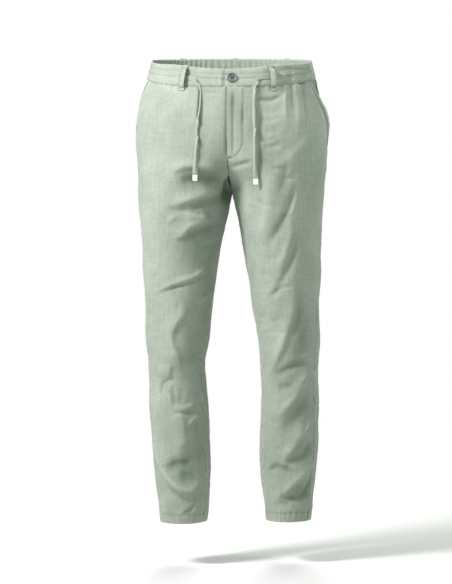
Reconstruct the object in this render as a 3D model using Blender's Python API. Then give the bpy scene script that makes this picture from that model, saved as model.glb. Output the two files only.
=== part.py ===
"""Linen drawstring trousers, worn: slim straight legs, a front waistband that buttons over a fly, an
elastic back waistband, slanting side pockets, five belt loops and two flat drawcords with tips.

Metres, +Z up. The front faces -Y and the wearer's left is +X. The origin is the middle of the waist
opening, where the wearer's waist holds the garment. Each panel is a thin wall whose outer face lies on
rings: one ellipse round each leg at every height. Above the crotch the two rings merge, and the centre
seams are cut where they meet."""

import math
from collections import namedtuple

import bmesh
import bpy
from mathutils import Matrix, Vector

# Cloth
CLOTH = 0.0015  # one layer of washed linen
BAND_CLOTH = 0.0024  # the folded waistband
BAND_PROUD = 0.0006  # the waistband stands out from the panels by this
SEAM_GAP = 0.0003
HEM_DEPTH = 0.020
HEM_CLOTH = 0.0030  # turned up, two layers

# Heights
WAIST_SEAM_SIDE = -0.013
WAIST_SEAM_FRONT_DROP = 0.0315
WAIST_SEAM_BACK_RISE = 0.015
BAND_HEIGHT = 0.038
LEVEL_FADE_END = -0.200  # the dipping waist line has no effect on the grid below this
CROTCH_Z = -0.254
HEM_Z = -0.942

# The body turns a little to its right: every ring is sheared, so that its front lies further right.
SHEAR = 0.0826  # sideways run for each metre backwards
SEAM_TURN = math.radians(2.5)  # and the leg seams are turned by this as well

# The back panels are wider than the fronts down the leg, so both leg seams show from the front.
FRONT_NARROWING = math.radians(27)
NARROWING_FROM, NARROWING_TO = -0.300, -0.640

# Slanting pockets
POCKET_END = -0.165
MOUTH_ANGLE = math.radians(16.3)  # how far the mouth starts in front of the side seam
MOUTH_POWER = 2.4
POCKET_REACH = 0.120
POCKET_SLACK = 0.006
POCKET_UNDER_BACK = 0.008
POCKET_ROWS, POCKET_COLUMNS = 10, 5
POCKET_LAST_ROW = 12  # the panels' row where the bag ends
POCKET_EASE = 0.0012
GAPE = 0.0115  # the wearer's left pocket mouth stands open by this
GAPE_TOP, GAPE_END = -0.035, -0.163
GAPE_SPREAD = math.radians(30)

# Fly and waistband closing, measured round the body from the centre front
FLY_END = -0.186
FLY_TAPER = 0.012
FLY_UNDERLAP = 0.008
FLY_STEP, FLY_EDGE = 0.005, 0.001
UNDER_CLOTH = CLOTH + SEAM_GAP + 0.0001  # how deep a piece lies that passes under a panel
FACING_FROM, FACING_TO = 0.0095, 0.035
FACING_ROWS = [0, 1, 2, 3, 4, 4.6, 5.2, 5.6, 5.9]  # in rows of the panel's grid
FACING_CURVE = 0.70  # the foot of the facing begins to curve at this share of its length
FACING_TIP = 0.004
FACING_CLOTH = 0.0012
FACING_EASE = 0.0010
BAND_OVERLAP = 0.0032
BAND_UNDERLAP = 0.028
BAND_STEP = 0.010

# Belt loops
LOOP_WIDTH = 0.0128
LOOP_CLOTH = 0.0016
LOOP_CLEAR = 0.0069
LOOP_BELOW_SEAM = 0.0085
LOOP_FOOT = 0.0011  # the foot stands off the panel by this
LOOP_FRONT_ANGLE = math.radians(60)
LOOP_BACK_ANGLE = math.radians(42)  # from the centre back

# Button
BUTTON_RADIUS = 0.0103
BUTTON_THICK = 0.0030
BUTTON_RIM = 0.0021
BUTTON_DISH = 0.0008
BUTTON_HOLE_RADIUS = 0.0011
BUTTON_HOLE_SPREAD = 0.0023
BUTTON_PAST_CENTRE = 0.0094

# Drawcords: a flat tape
CORD_WIDTH = 0.0090
CORD_THICK = 0.0016
TIP_WIDTH, TIP_THICK, TIP_LENGTH = 0.0098, 0.0028, 0.0108

# Grid of each panel
PANEL_COLUMNS = 10
ROWS_ABOVE_CROTCH = 11
ROWS_BELOW_CROTCH = 20

RIGHT, LEFT = -1, 1  # the wearer's

Hip = namedtuple("Hip", "z right left")
HIPS = [  # outermost reach of each side, down to the crotch
    Hip(0.045, 0.1625, 0.1620),
    Hip(0.010, 0.1705, 0.1700),
    Hip(-0.020, 0.1790, 0.1775),
    Hip(-0.062, 0.1925, 0.1870),
    Hip(-0.105, 0.2005, 0.1975),
    Hip(-0.145, 0.2022, 0.2010),
    Hip(-0.190, 0.1998, 0.1995),
    Hip(CROTCH_Z, 0.1957, 0.1940),
]

Parting = namedtuple("Parting", "z share")
PARTINGS = [  # how far the rings of the two legs have parted: 0 is one shared ring, 1 is two that just touch
    Parting(-0.045, 0.000),
    Parting(-0.080, 0.018),
    Parting(-0.120, 0.100),
    Parting(-0.160, 0.268),
    Parting(-0.190, 0.450),
    Parting(-0.215, 0.680),
    Parting(-0.235, 0.900),
    Parting(-0.246, 0.974),
    Parting(CROTCH_Z, 1.000),
]

LegRow = namedtuple("LegRow", "z outer inner")
LEGS = {
    RIGHT: [
        LegRow(CROTCH_Z, 0.1957, 0.0000),
        LegRow(-0.275, 0.1945, 0.0040),
        LegRow(-0.305, 0.1928, 0.0111),
        LegRow(-0.370, 0.1880, 0.0252),
        LegRow(-0.440, 0.1850, 0.0336),
        LegRow(-0.500, 0.1805, 0.0415),
        LegRow(-0.560, 0.1790, 0.0485),
        LegRow(-0.605, 0.1760, 0.0560),
        LegRow(-0.650, 0.1735, 0.0530),
        LegRow(-0.710, 0.1712, 0.0502),
        LegRow(-0.780, 0.1672, 0.0460),
        LegRow(-0.850, 0.1602, 0.0452),
        LegRow(-0.905, 0.1532, 0.0480),
        LegRow(HEM_Z, 0.1483, 0.0540),
    ],
    LEFT: [
        LegRow(CROTCH_Z, 0.1940, 0.0000),
        LegRow(-0.275, 0.1925, 0.0062),
        LegRow(-0.305, 0.1905, 0.0126),
        LegRow(-0.370, 0.1882, 0.0242),
        LegRow(-0.440, 0.1867, 0.0357),
        LegRow(-0.485, 0.1832, 0.0420),
        LegRow(-0.550, 0.1848, 0.0535),
        LegRow(-0.605, 0.1822, 0.0592),
        LegRow(-0.650, 0.1815, 0.0611),
        LegRow(-0.710, 0.1833, 0.0603),
        LegRow(-0.780, 0.1815, 0.0592),
        LegRow(-0.850, 0.1765, 0.0606),
        LegRow(-0.905, 0.1705, 0.0675),
        LegRow(HEM_Z, 0.1665, 0.0725),
    ],
}

Depth = namedtuple("Depth", "z front back")
DEPTHS = [  # reach of the cloth forwards and backwards from the side line
    Depth(0.045, 0.108, 0.106),
    Depth(0.010, 0.115, 0.108),
    Depth(-0.020, 0.120, 0.114),
    Depth(-0.062, 0.126, 0.128),
    Depth(-0.105, 0.128, 0.140),
    Depth(-0.145, 0.127, 0.147),
    Depth(-0.190, 0.121, 0.145),
    Depth(-0.225, 0.114, 0.137),
    Depth(CROTCH_Z, 0.108, 0.128),
    Depth(-0.305, 0.102, 0.116),
    Depth(-0.370, 0.096, 0.107),
    Depth(-0.480, 0.085, 0.094),
    Depth(-0.600, 0.073, 0.076),
    Depth(-0.720, 0.062, 0.075),
    Depth(-0.840, 0.053, 0.077),
    Depth(HEM_Z, 0.047, 0.075),
]

STRIDE = {RIGHT: -0.018, LEFT: 0.014}  # how far each hem stands forward (-) or back (+)

Fold = namedtuple("Fold", "side face x1 z1 x2 z2 spread lift")
FRONT, BACK = -1, 1
FOLDS = [  # soft ridges (+) and troughs (-) from one end to the other, seen from the front or the back
    Fold(RIGHT, FRONT, -0.015, -0.250, -0.130, -0.296, 0.016, -0.0050),
    Fold(RIGHT, FRONT, -0.125, -0.353, -0.054, -0.304, 0.016, 0.0040),
    Fold(RIGHT, FRONT, -0.092, -0.330, -0.024, -0.336, 0.016, -0.0045),
    Fold(RIGHT, FRONT, -0.160, -0.458, -0.040, -0.404, 0.018, 0.0045),
    Fold(RIGHT, FRONT, -0.146, -0.610, -0.118, -0.640, 0.020, 0.0045),
    Fold(RIGHT, FRONT, -0.135, -0.668, -0.090, -0.700, 0.020, -0.0040),
    Fold(RIGHT, FRONT, -0.150, -0.785, -0.082, -0.895, 0.018, 0.0045),
    Fold(RIGHT, FRONT, -0.135, -0.828, -0.088, -0.812, 0.016, -0.0040),
    Fold(LEFT, FRONT, 0.117, -0.318, 0.100, -0.443, 0.018, 0.0050),
    Fold(LEFT, FRONT, 0.136, -0.320, 0.118, -0.420, 0.014, -0.0040),
    Fold(LEFT, FRONT, 0.121, -0.458, 0.068, -0.627, 0.018, 0.0060),
    Fold(LEFT, FRONT, 0.085, -0.628, 0.155, -0.612, 0.018, -0.0045),
    Fold(LEFT, FRONT, 0.156, -0.620, 0.090, -0.720, 0.018, 0.0050),
    Fold(LEFT, FRONT, 0.108, -0.790, 0.165, -0.778, 0.020, -0.0045),
    Fold(LEFT, FRONT, 0.103, -0.870, 0.152, -0.885, 0.018, -0.0040),
    Fold(RIGHT, BACK, -0.030, -0.262, -0.140, -0.285, 0.018, -0.0060),
    Fold(RIGHT, BACK, -0.060, -0.320, -0.160, -0.360, 0.020, 0.0045),
    Fold(RIGHT, BACK, -0.060, -0.585, -0.160, -0.560, 0.018, -0.0055),
    Fold(RIGHT, BACK, -0.075, -0.650, -0.155, -0.628, 0.018, -0.0050),
    Fold(RIGHT, BACK, -0.150, -0.740, -0.070, -0.800, 0.020, 0.0045),
    Fold(LEFT, BACK, 0.035, -0.258, 0.145, -0.290, 0.018, -0.0060),
    Fold(LEFT, BACK, 0.065, -0.335, 0.150, -0.315, 0.018, 0.0040),
    Fold(LEFT, BACK, 0.070, -0.575, 0.165, -0.600, 0.018, -0.0055),
    Fold(LEFT, BACK, 0.080, -0.660, 0.160, -0.645, 0.018, -0.0050),
    Fold(LEFT, BACK, 0.160, -0.760, 0.085, -0.830, 0.020, 0.0045),
]

# Routes of the two drawcords along their middle line, from under the belt loop down to the tip
CORD_ROUTES = {
    RIGHT: [
        (-0.0983, -0.1078, -0.0250),
        (-0.0922, -0.1100, -0.0250),
        (-0.0860, -0.1122, -0.0250),
        (-0.0793, -0.1145, -0.0261),
        (-0.0738, -0.1170, -0.0326),
        (-0.0697, -0.1193, -0.0418),
        (-0.0677, -0.1213, -0.0540),
        (-0.0677, -0.1231, -0.0703),
        (-0.0685, -0.1243, -0.0866),
        (-0.0701, -0.1254, -0.1009),
        (-0.0716, -0.1264, -0.1193),
        (-0.0722, -0.1267, -0.1356),
        (-0.0728, -0.1267, -0.1519),
        (-0.0734, -0.1263, -0.1682),
        (-0.0744, -0.1256, -0.1846),
        (-0.0752, -0.1246, -0.2009),
        (-0.0756, -0.1238, -0.2131),
        (-0.0758, -0.1232, -0.2243),
    ],
    LEFT: [
        (0.0788, -0.1077, -0.0224),
        (0.0710, -0.1105, -0.0224),
        (0.0639, -0.1128, -0.0222),
        (0.0574, -0.1148, -0.0232),
        (0.0513, -0.1171, -0.0291),
        (0.0472, -0.1193, -0.0377),
        (0.0447, -0.1209, -0.0499),
        (0.0441, -0.1229, -0.0662),
        (0.0445, -0.1243, -0.0826),
        (0.0451, -0.1253, -0.0989),
        (0.0453, -0.1262, -0.1152),
        (0.0449, -0.1268, -0.1315),
        (0.0447, -0.1270, -0.1458),
        (0.0459, -0.1268, -0.1621),
        (0.0462, -0.1264, -0.1784),
        (0.0462, -0.1258, -0.1948),
        (0.0468, -0.1251, -0.2111),
        (0.0478, -0.1244, -0.2315),
    ],
}
CORD_POINTS = 17

MATERIALS = {  # colour, roughness
    "washed_linen": ((0.36, 0.42, 0.34), 0.85),
    "waistband_linen": ((0.38, 0.44, 0.36), 0.85),
    "pocket_linen": ((0.30, 0.36, 0.29), 0.88),
    "horn_button": ((0.055, 0.070, 0.062), 0.40),
    "cotton_tape": ((0.55, 0.60, 0.52), 0.85),
    "tip_white": ((0.85, 0.86, 0.84), 0.45),
}


def clear_scene():
    for obj in list(bpy.data.objects):
        bpy.data.objects.remove(obj)


def material(name):
    found = bpy.data.materials.get(name)
    if found:
        return found
    colour, roughness = MATERIALS[name]
    made = bpy.data.materials.new(name)
    made.use_nodes = True
    shader = made.node_tree.nodes["Principled BSDF"]
    shader.inputs["Base Color"].default_value = (*colour, 1.0)
    shader.inputs["Roughness"].default_value = roughness
    shader.inputs["Metallic"].default_value = 0.0
    return made


def clamp(value, low=0.0, high=1.0):
    return max(low, min(high, value))


def ease(value):
    value = clamp(value)
    return value * value * (3 - 2 * value)


def read_table(rows, z):
    """The row at height z, on a smooth curve through the rows, which run downwards."""
    z = clamp(z, rows[-1].z, rows[0].z)
    below = next(k for k in range(1, len(rows)) if z >= rows[k].z)
    above = below - 1
    step = rows[below].z - rows[above].z
    share = (z - rows[above].z) / step

    def slope(k, column):
        first, last = max(k - 1, 0), min(k + 1, len(rows) - 1)
        return (rows[last][column] - rows[first][column]) / (rows[last].z - rows[first].z)

    values = [z]
    for column in range(1, len(rows[0])):
        start, end = rows[above][column], rows[below][column]
        rise, fall = slope(above, column) * step, slope(below, column) * step
        values.append(
            start
            + share * (rise + share * (3 * (end - start) - 2 * rise - fall + share * (2 * (start - end) + rise + fall)))
        )
    return type(rows[0])(*values)


Ring = namedtuple("Ring", "middle_x middle_y half_width half_depth")


def ring_at(side, z):
    """The ellipse round one side at height z; its middle_x is counted outwards from the centre."""
    depth = read_table(DEPTHS, z)
    if z >= CROTCH_Z:
        hip = read_table(HIPS, z)
        outer = hip.left if side == LEFT else hip.right
        parted = clamp(read_table(PARTINGS, z).share)
        half_width = outer / (1 + parted)
        middle_x = parted * half_width
    else:
        row = read_table(LEGS[side], z)
        half_width = (row.outer - row.inner) / 2
        middle_x = (row.outer + row.inner) / 2
    stride = STRIDE[side] * ease((CROTCH_Z - z) / (CROTCH_Z - HEM_Z))
    return Ring(middle_x, (depth.back - depth.front) / 2 + stride, half_width, (depth.back + depth.front) / 2)


def centre_angle(side, z, face):
    """Where the ring meets the centre seam: 0 is outermost, +90 degrees the front, -90 the back."""
    ring = ring_at(side, z)
    return -face * math.acos(clamp(-ring.middle_x / ring.half_width, -1, 1))


def narrowing(z):
    return FRONT_NARROWING * ease((NARROWING_FROM - z) / (NARROWING_FROM - NARROWING_TO))


def side_seam(side, z):
    return side * SEAM_TURN + narrowing(z)


def inner_edge(side, z, face):
    """The centre seam above the crotch, and the inseam below it."""
    if z >= CROTCH_Z:
        return centre_angle(side, z, face)
    inseam = math.pi - narrowing(z)
    return inseam if face == FRONT else inseam - 2 * math.pi


def pocket_mouth(side, z):
    top = waist_seam(math.radians(15))
    return side_seam(side, z) + MOUTH_ANGLE * clamp((z - POCKET_END) / (top - POCKET_END)) ** MOUTH_POWER


def waist_seam(angle):
    rise = math.sin(angle)
    return WAIST_SEAM_SIDE - (WAIST_SEAM_FRONT_DROP if rise > 0 else WAIST_SEAM_BACK_RISE) * rise


def height(level, angle):
    """The real height of a grid level, which follows the dipping waist line near the top."""
    share = clamp((level - LEVEL_FADE_END) / (WAIST_SEAM_SIDE - LEVEL_FADE_END))
    return level + (waist_seam(angle) - WAIST_SEAM_SIDE) * share**2


def fold_lift(side, x, z, facing):
    """How far the folds move the cloth outwards here; facing is the normal's y."""
    total = 0.0
    for fold in FOLDS:
        if fold.side != side or fold.face * facing <= 0:
            continue
        run = Vector((fold.x2 - fold.x1, fold.z2 - fold.z1))
        here = Vector((x - fold.x1, z - fold.z1))
        along = clamp(here.dot(run) / run.length_squared)
        away = (here - run * along).length / fold.spread
        total += fold.lift * math.exp(-away * away) * ease(abs(facing) / 0.4)
    return total


def ring_run(side, ring, angle):
    """How x and y change with the angle."""
    run_y = -ring.half_depth * math.cos(angle)
    return -side * ring.half_width * math.sin(angle) + SHEAR * run_y, run_y


def surface(side, angle, z, lift=0.0):
    """The point of the outer face there, moved out by lift, and its outward normal."""
    ring = ring_at(side, z)
    forward = ring.half_depth * math.sin(angle)
    x = side * (ring.middle_x + ring.half_width * math.cos(angle)) - SHEAR * forward
    run_x, run_y = ring_run(side, ring, angle)
    normal = Vector((-side * run_y, side * run_x, 0.0)).normalized()
    lift += fold_lift(side, x, z, normal.y)
    return Vector((x, ring.middle_y - forward, z)) + normal * lift, normal


def leaning(side, angle, z, lift):
    """The same point, with a normal that follows the slope of the cloth too."""
    step = 0.004
    up = surface(side, angle, z + step, lift)[0] - surface(side, angle, z - step, lift)[0]
    across = surface(side, angle + step, z, lift)[0] - surface(side, angle - step, z, lift)[0]
    return surface(side, angle, z, lift)[0], (up.cross(across) * side).normalized()


def gape(side, angle, z):
    """The lift of the front panel round the open pocket mouth."""
    if side != LEFT or not GAPE_END < z < GAPE_TOP:
        return 0.0
    share = (z - GAPE_END) / (GAPE_TOP - GAPE_END)
    swell = math.sin(math.pi * share**1.2) ** 1.2
    return GAPE * swell * ease(1 - (angle - pocket_mouth(side, z)) / GAPE_SPREAD)


def arc_step(side, angle, z):
    """Metres of cloth for each radian here."""
    return math.hypot(*ring_run(side, ring_at(side, z), angle))


def even_angles(side, level, start, end, count):
    """Angles that divide the cloth between start and end into equal lengths."""
    fine = 80
    lengths = [0.0]
    for k in range(fine):
        middle = start + (end - start) * (k + 0.5) / fine
        lengths.append(lengths[-1] + arc_step(side, middle, height(level, middle)))
    found, k = [], 0
    for j in range(count + 1):
        target = lengths[-1] * j / count
        while k < fine - 1 and lengths[k + 1] < target:
            k += 1
        share = (target - lengths[k]) / (lengths[k + 1] - lengths[k])
        found.append(start + (end - start) * (k + share) / fine)
    return found


def shifted(side, angle, z, distance):
    """The angle that lies this many metres of cloth further on."""
    return angle + distance / arc_step(side, angle, z)


def levels():
    """Grid levels from the waist seam to the hem, closer together above the crotch."""
    top = WAIST_SEAM_SIDE - SEAM_GAP / 2
    above = [
        CROTCH_Z + (top - CROTCH_Z) * (1 - k / ROWS_ABOVE_CROTCH) ** 1.6 for k in range(ROWS_ABOVE_CROTCH)
    ]
    turn_up = HEM_Z + HEM_DEPTH
    below = [
        CROTCH_Z + (turn_up + 0.001 - CROTCH_Z) * (k / ROWS_BELOW_CROTCH) ** 1.05
        for k in range(ROWS_BELOW_CROTCH + 1)
    ]
    return above + below + [turn_up, HEM_Z]


def cloth_at(level):
    return HEM_CLOTH if level <= HEM_Z + HEM_DEPTH + 1e-6 else CLOTH


def wall(name, rows, thickness, look, smooth=True):
    """A closed wall: rows of (point, normal) give the outer face, and thickness goes inwards."""
    mesh = bmesh.new()
    outer = [[mesh.verts.new(point) for point, _ in row] for row in rows]
    inner = [
        [mesh.verts.new(point - normal * thickness[i]) for point, normal in row] for i, row in enumerate(rows)
    ]
    last_row, last_column = len(rows) - 1, len(rows[0]) - 1
    for i in range(last_row):
        for j in range(last_column):
            mesh.faces.new((outer[i][j], outer[i + 1][j], outer[i + 1][j + 1], outer[i][j + 1]))
            mesh.faces.new((inner[i][j], inner[i][j + 1], inner[i + 1][j + 1], inner[i + 1][j]))
        for j, flip in ((0, False), (last_column, True)):
            edge = (outer[i][j], inner[i][j], inner[i + 1][j], outer[i + 1][j])
            mesh.faces.new(edge[::-1] if flip else edge)
    for j in range(last_column):
        for i, flip in ((0, True), (last_row, False)):
            edge = (outer[i][j], inner[i][j], inner[i][j + 1], outer[i][j + 1])
            mesh.faces.new(edge[::-1] if flip else edge)
    return finish_mesh(name, mesh, look, smooth)


def finish_mesh(name, mesh, look, smooth=True):
    bmesh.ops.recalc_face_normals(mesh, faces=mesh.faces)
    if mesh.calc_volume(signed=True) < 0:
        bmesh.ops.reverse_faces(mesh, faces=mesh.faces)
    data = bpy.data.meshes.new(name)
    mesh.to_mesh(data)
    mesh.free()
    if smooth:
        data.shade_smooth()
        data.set_sharp_from_angle(angle=math.radians(50))
    data.materials.append(material(look))
    obj = bpy.data.objects.new(name, data)
    bpy.context.scene.collection.objects.link(obj)
    return obj


def side_name(side):
    return "left" if side == LEFT else "right"


def meeting_angle(side, level, face):
    """The inner edge at a grid level, whose own height follows its angle."""
    angle = math.copysign(math.pi / 2, -face)
    for _ in range(5):
        angle = inner_edge(side, height(level, angle), face)
    return angle


def fly_share(z, lowest):
    """1 in the fly, fading to 0 at this height; below the fly the fronts are seamed."""
    return ease((z - lowest) / FLY_TAPER)


def mouth_angle(side, level):
    """The outer edge of the front at a grid level: the pocket mouth, and below it the side seam."""
    angle = side_seam(side, level)
    for _ in range(4):
        angle = pocket_mouth(side, height(level, angle))
    return angle


def front_grid(side, gaping):
    rows = []
    for level in levels():
        start = mouth_angle(side, level)
        start = shifted(side, start, height(level, start), SEAM_GAP / 2)
        centre = meeting_angle(side, level, FRONT)
        z_centre = height(level, centre)
        lap = fly_share(z_centre, FLY_END) if side == RIGHT else 0.0
        step = fly_share(z_centre, FLY_END - FLY_TAPER - 0.002) if side == RIGHT else 0.0
        step_from = shifted(side, centre, z_centre, -FLY_STEP - FLY_EDGE)
        step_to = shifted(side, centre, z_centre, -FLY_EDGE)
        edge = shifted(side, centre, z_centre, lap * (FLY_UNDERLAP + SEAM_GAP / 2) - SEAM_GAP / 2)
        angles = even_angles(side, level, start, step_from, PANEL_COLUMNS - 2) + [step_to, edge]
        row = []
        for k, angle in enumerate(angles):
            z = height(level, angle)
            under = step * UNDER_CLOTH if k >= PANEL_COLUMNS - 1 else 0.0
            row.append(surface(side, angle, z, (gape(side, angle, z) if gaping else 0.0) - under))
        rows.append(row)
    return rows


def back_grid(side):
    rows = []
    for level in levels():
        start = side_seam(side, level)
        start = shifted(side, start, height(level, start), -SEAM_GAP / 2)
        end = meeting_angle(side, level, BACK)
        end = shifted(side, end, height(level, end), SEAM_GAP / 2)
        angles = even_angles(side, level, start, end, PANEL_COLUMNS)
        rows.append([surface(side, angle, height(level, angle)) for angle in angles])
    return rows


def on_grid(grid, i, j):
    """The point and normal of a panel at row i and column j, which may lie between its own."""
    i, j = clamp(i, 0, len(grid) - 1), clamp(j, 0, len(grid[0]) - 1)
    row, column = min(int(i), len(grid) - 2), min(int(j), len(grid[0]) - 2)
    down, across = i - row, j - column
    mixed = []
    for part in (0, 1):
        upper = grid[row][column][part].lerp(grid[row][column + 1][part], across)
        lower = grid[row + 1][column][part].lerp(grid[row + 1][column + 1][part], across)
        mixed.append(upper.lerp(lower, down))
    return mixed[0], mixed[1].normalized()


def moved_in(spot, distance):
    point, normal = spot
    return point - normal * distance, normal


def column_at(row, distance, from_end=False):
    """The column number that lies this far along a row from its first or its last column."""
    points = [point for point, _ in row]
    if from_end:
        points.reverse()
    walked, k = 0.0, 0
    while k < len(points) - 2 and walked + (points[k + 1] - points[k]).length < distance:
        walked += (points[k + 1] - points[k]).length
        k += 1
    column = k + (distance - walked) / (points[k + 1] - points[k]).length
    return len(points) - 1 - column if from_end else column


def panel(name, grid):
    return wall(name, grid, [cloth_at(level) for level in levels()], "washed_linen")


def pocket(side, front, back):
    """The hip facing that shows behind the mouth and grows into the bag, one layer behind the front."""
    rows = []
    for step in range(POCKET_ROWS + 1):
        drop = step / POCKET_ROWS
        i = drop * POCKET_LAST_ROW
        row = int(round(i))
        level = levels()[row]
        mouth = mouth_angle(side, level)
        seam = side_seam(side, height(level, mouth))
        width = (mouth - seam) * arc_step(side, mouth, height(level, mouth))
        spots = [on_grid(back, i, column_at(back[row], POCKET_UNDER_BACK))]
        if width > POCKET_UNDER_BACK:
            angle = (mouth + seam) / 2
            spots.append(surface(side, angle, height(level, angle)))
        else:
            spots.append(on_grid(back, i, column_at(back[row], POCKET_UNDER_BACK / 2)))
        reach = POCKET_REACH * math.sqrt(1 - 0.7 * drop**5)
        last = column_at(front[row], reach)
        spots += [on_grid(front, i, last * k / POCKET_COLUMNS) for k in range(POCKET_COLUMNS + 1)]
        inward = UNDER_CLOTH + POCKET_EASE
        slack = [0.0, 0.0] + [math.sin(math.pi * k / POCKET_COLUMNS) for k in range(POCKET_COLUMNS + 1)]
        swell = POCKET_SLACK * math.sin(math.pi * min(1.0, 0.2 + 0.8 * drop)) * ease(drop * 4)
        rows.append([moved_in(spot, inward + swell * loose) for spot, loose in zip(spots, slack)])
    return wall(f"pocket_{side_name(side)}", rows, [CLOTH] * len(rows), "pocket_linen")


def band_rows(stations, lift_of):
    """Waistband rows at its top, middle and foot; each station is a side, an angle and a place."""
    rows = []
    for share in (1.0, 0.5, 0.0):
        row = []
        for side, angle, place in stations:
            z = waist_seam(angle) + SEAM_GAP / 2 + share * BAND_HEIGHT
            row.append(surface(side, angle, z, lift_of(place)))
        rows.append(row)
    return rows


def front_band(side):
    """The wearer's left end laps over the right one at the centre front."""
    seam_z = WAIST_SEAM_SIDE - WAIST_SEAM_FRONT_DROP
    centre = centre_angle(side, seam_z, FRONT)
    start = shifted(side, pocket_mouth(side, WAIST_SEAM_SIDE), WAIST_SEAM_SIDE, SEAM_GAP / 2)
    if side == LEFT:
        places = [None] * 12 + [0.0]
        end = shifted(side, centre, seam_z, BAND_OVERLAP)
        angles = even_angles(side, WAIST_SEAM_SIDE, start, end, 12)
    else:
        step_from = shifted(side, centre, seam_z, -BAND_OVERLAP - BAND_STEP)
        step_to = shifted(side, centre, seam_z, -BAND_OVERLAP - 0.001)
        end = shifted(side, centre, seam_z, BAND_UNDERLAP)
        angles = even_angles(side, WAIST_SEAM_SIDE, start, step_from, 10)
        under = [step_to, (step_to + end) / 2, end]
        places = [None] * len(angles) + [1.0] * len(under)
        angles += under

    def lift(place):
        return BAND_PROUD - (place or 0.0) * (BAND_CLOTH + SEAM_GAP + 0.0001)

    stations = list(zip([side] * len(angles), angles, places))
    return wall(
        f"waistband_front_{side_name(side)}", band_rows(stations, lift), [BAND_CLOTH] * 3, "waistband_linen"
    )


def back_band():
    """One elastic length round the back, from pocket mouth to pocket mouth."""
    stations = []
    for side in (RIGHT, LEFT):
        start = shifted(side, pocket_mouth(side, WAIST_SEAM_SIDE), WAIST_SEAM_SIDE, -SEAM_GAP / 2)
        end = centre_angle(side, WAIST_SEAM_SIDE, BACK)
        angles = even_angles(side, WAIST_SEAM_SIDE, start, end, 14)
        half = [(side, angle, 0.0) for angle in angles]
        stations += half if side == RIGHT else half[-2::-1]
    return wall("waistband_back", band_rows(stations, lambda _: BAND_PROUD), [BAND_CLOTH] * 3, "waistband_linen")


def fly_facing(front):
    """The curved facing behind the wearer's left front, held by the J of topstitching."""
    rows = []
    for i in FACING_ROWS:
        drop = clamp((i / FACING_ROWS[-1] - FACING_CURVE) / (1 - FACING_CURVE))
        width = FACING_TIP + (FACING_TO - FACING_FROM - FACING_TIP) * math.sqrt(1 - drop * drop)
        row = front[min(int(round(i)), len(front) - 1)]
        near, far = (column_at(row, d, from_end=True) for d in (FACING_FROM, FACING_FROM + width))
        spots = [on_grid(front, i, near + (far - near) * k / 3) for k in range(4)]
        rows.append([moved_in(spot, UNDER_CLOTH + FACING_EASE) for spot in spots])
    return wall("fly_facing", rows, [FACING_CLOTH] * len(rows), "pocket_linen")


LoopStep = namedtuple("LoopStep", "share clear")
LOOP_STEPS = [  # from the top of the band (1) to the waist seam (0), and how far the strap stands clear
    LoopStep(0.99, SEAM_GAP),
    LoopStep(0.86, SEAM_GAP),
    LoopStep(0.72, LOOP_CLEAR * 0.9),
    LoopStep(0.50, LOOP_CLEAR),
    LoopStep(0.22, LOOP_CLEAR),
    LoopStep(0.03, LOOP_CLEAR * 0.75),
]


def belt_loop(name, side, angle):
    seam = waist_seam(angle)
    steps = [(seam + step.share * BAND_HEIGHT, BAND_PROUD + step.clear) for step in LOOP_STEPS]
    steps += [(seam - 0.35 * LOOP_BELOW_SEAM, LOOP_FOOT), (seam - LOOP_BELOW_SEAM, LOOP_FOOT)]
    rows = []
    for z, lift in steps:
        point, normal = surface(side, angle, z, lift + LOOP_CLOTH)
        across = normal.cross(Vector((0, 0, 1))) * (LOOP_WIDTH / 2)
        rows.append([(point - across, normal), (point, normal), (point + across, normal)])
    return wall(name, rows, [LOOP_CLOTH] * len(rows), "waistband_linen")


def belt_loops():
    centre_back = centre_angle(LEFT, WAIST_SEAM_SIDE, BACK)
    for side in (RIGHT, LEFT):
        belt_loop(f"belt_loop_front_{side_name(side)}", side, LOOP_FRONT_ANGLE)
        belt_loop(f"belt_loop_back_{side_name(side)}", side, centre_back + LOOP_BACK_ANGLE)
    belt_loop("belt_loop_back_centre", LEFT, centre_back)


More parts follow.
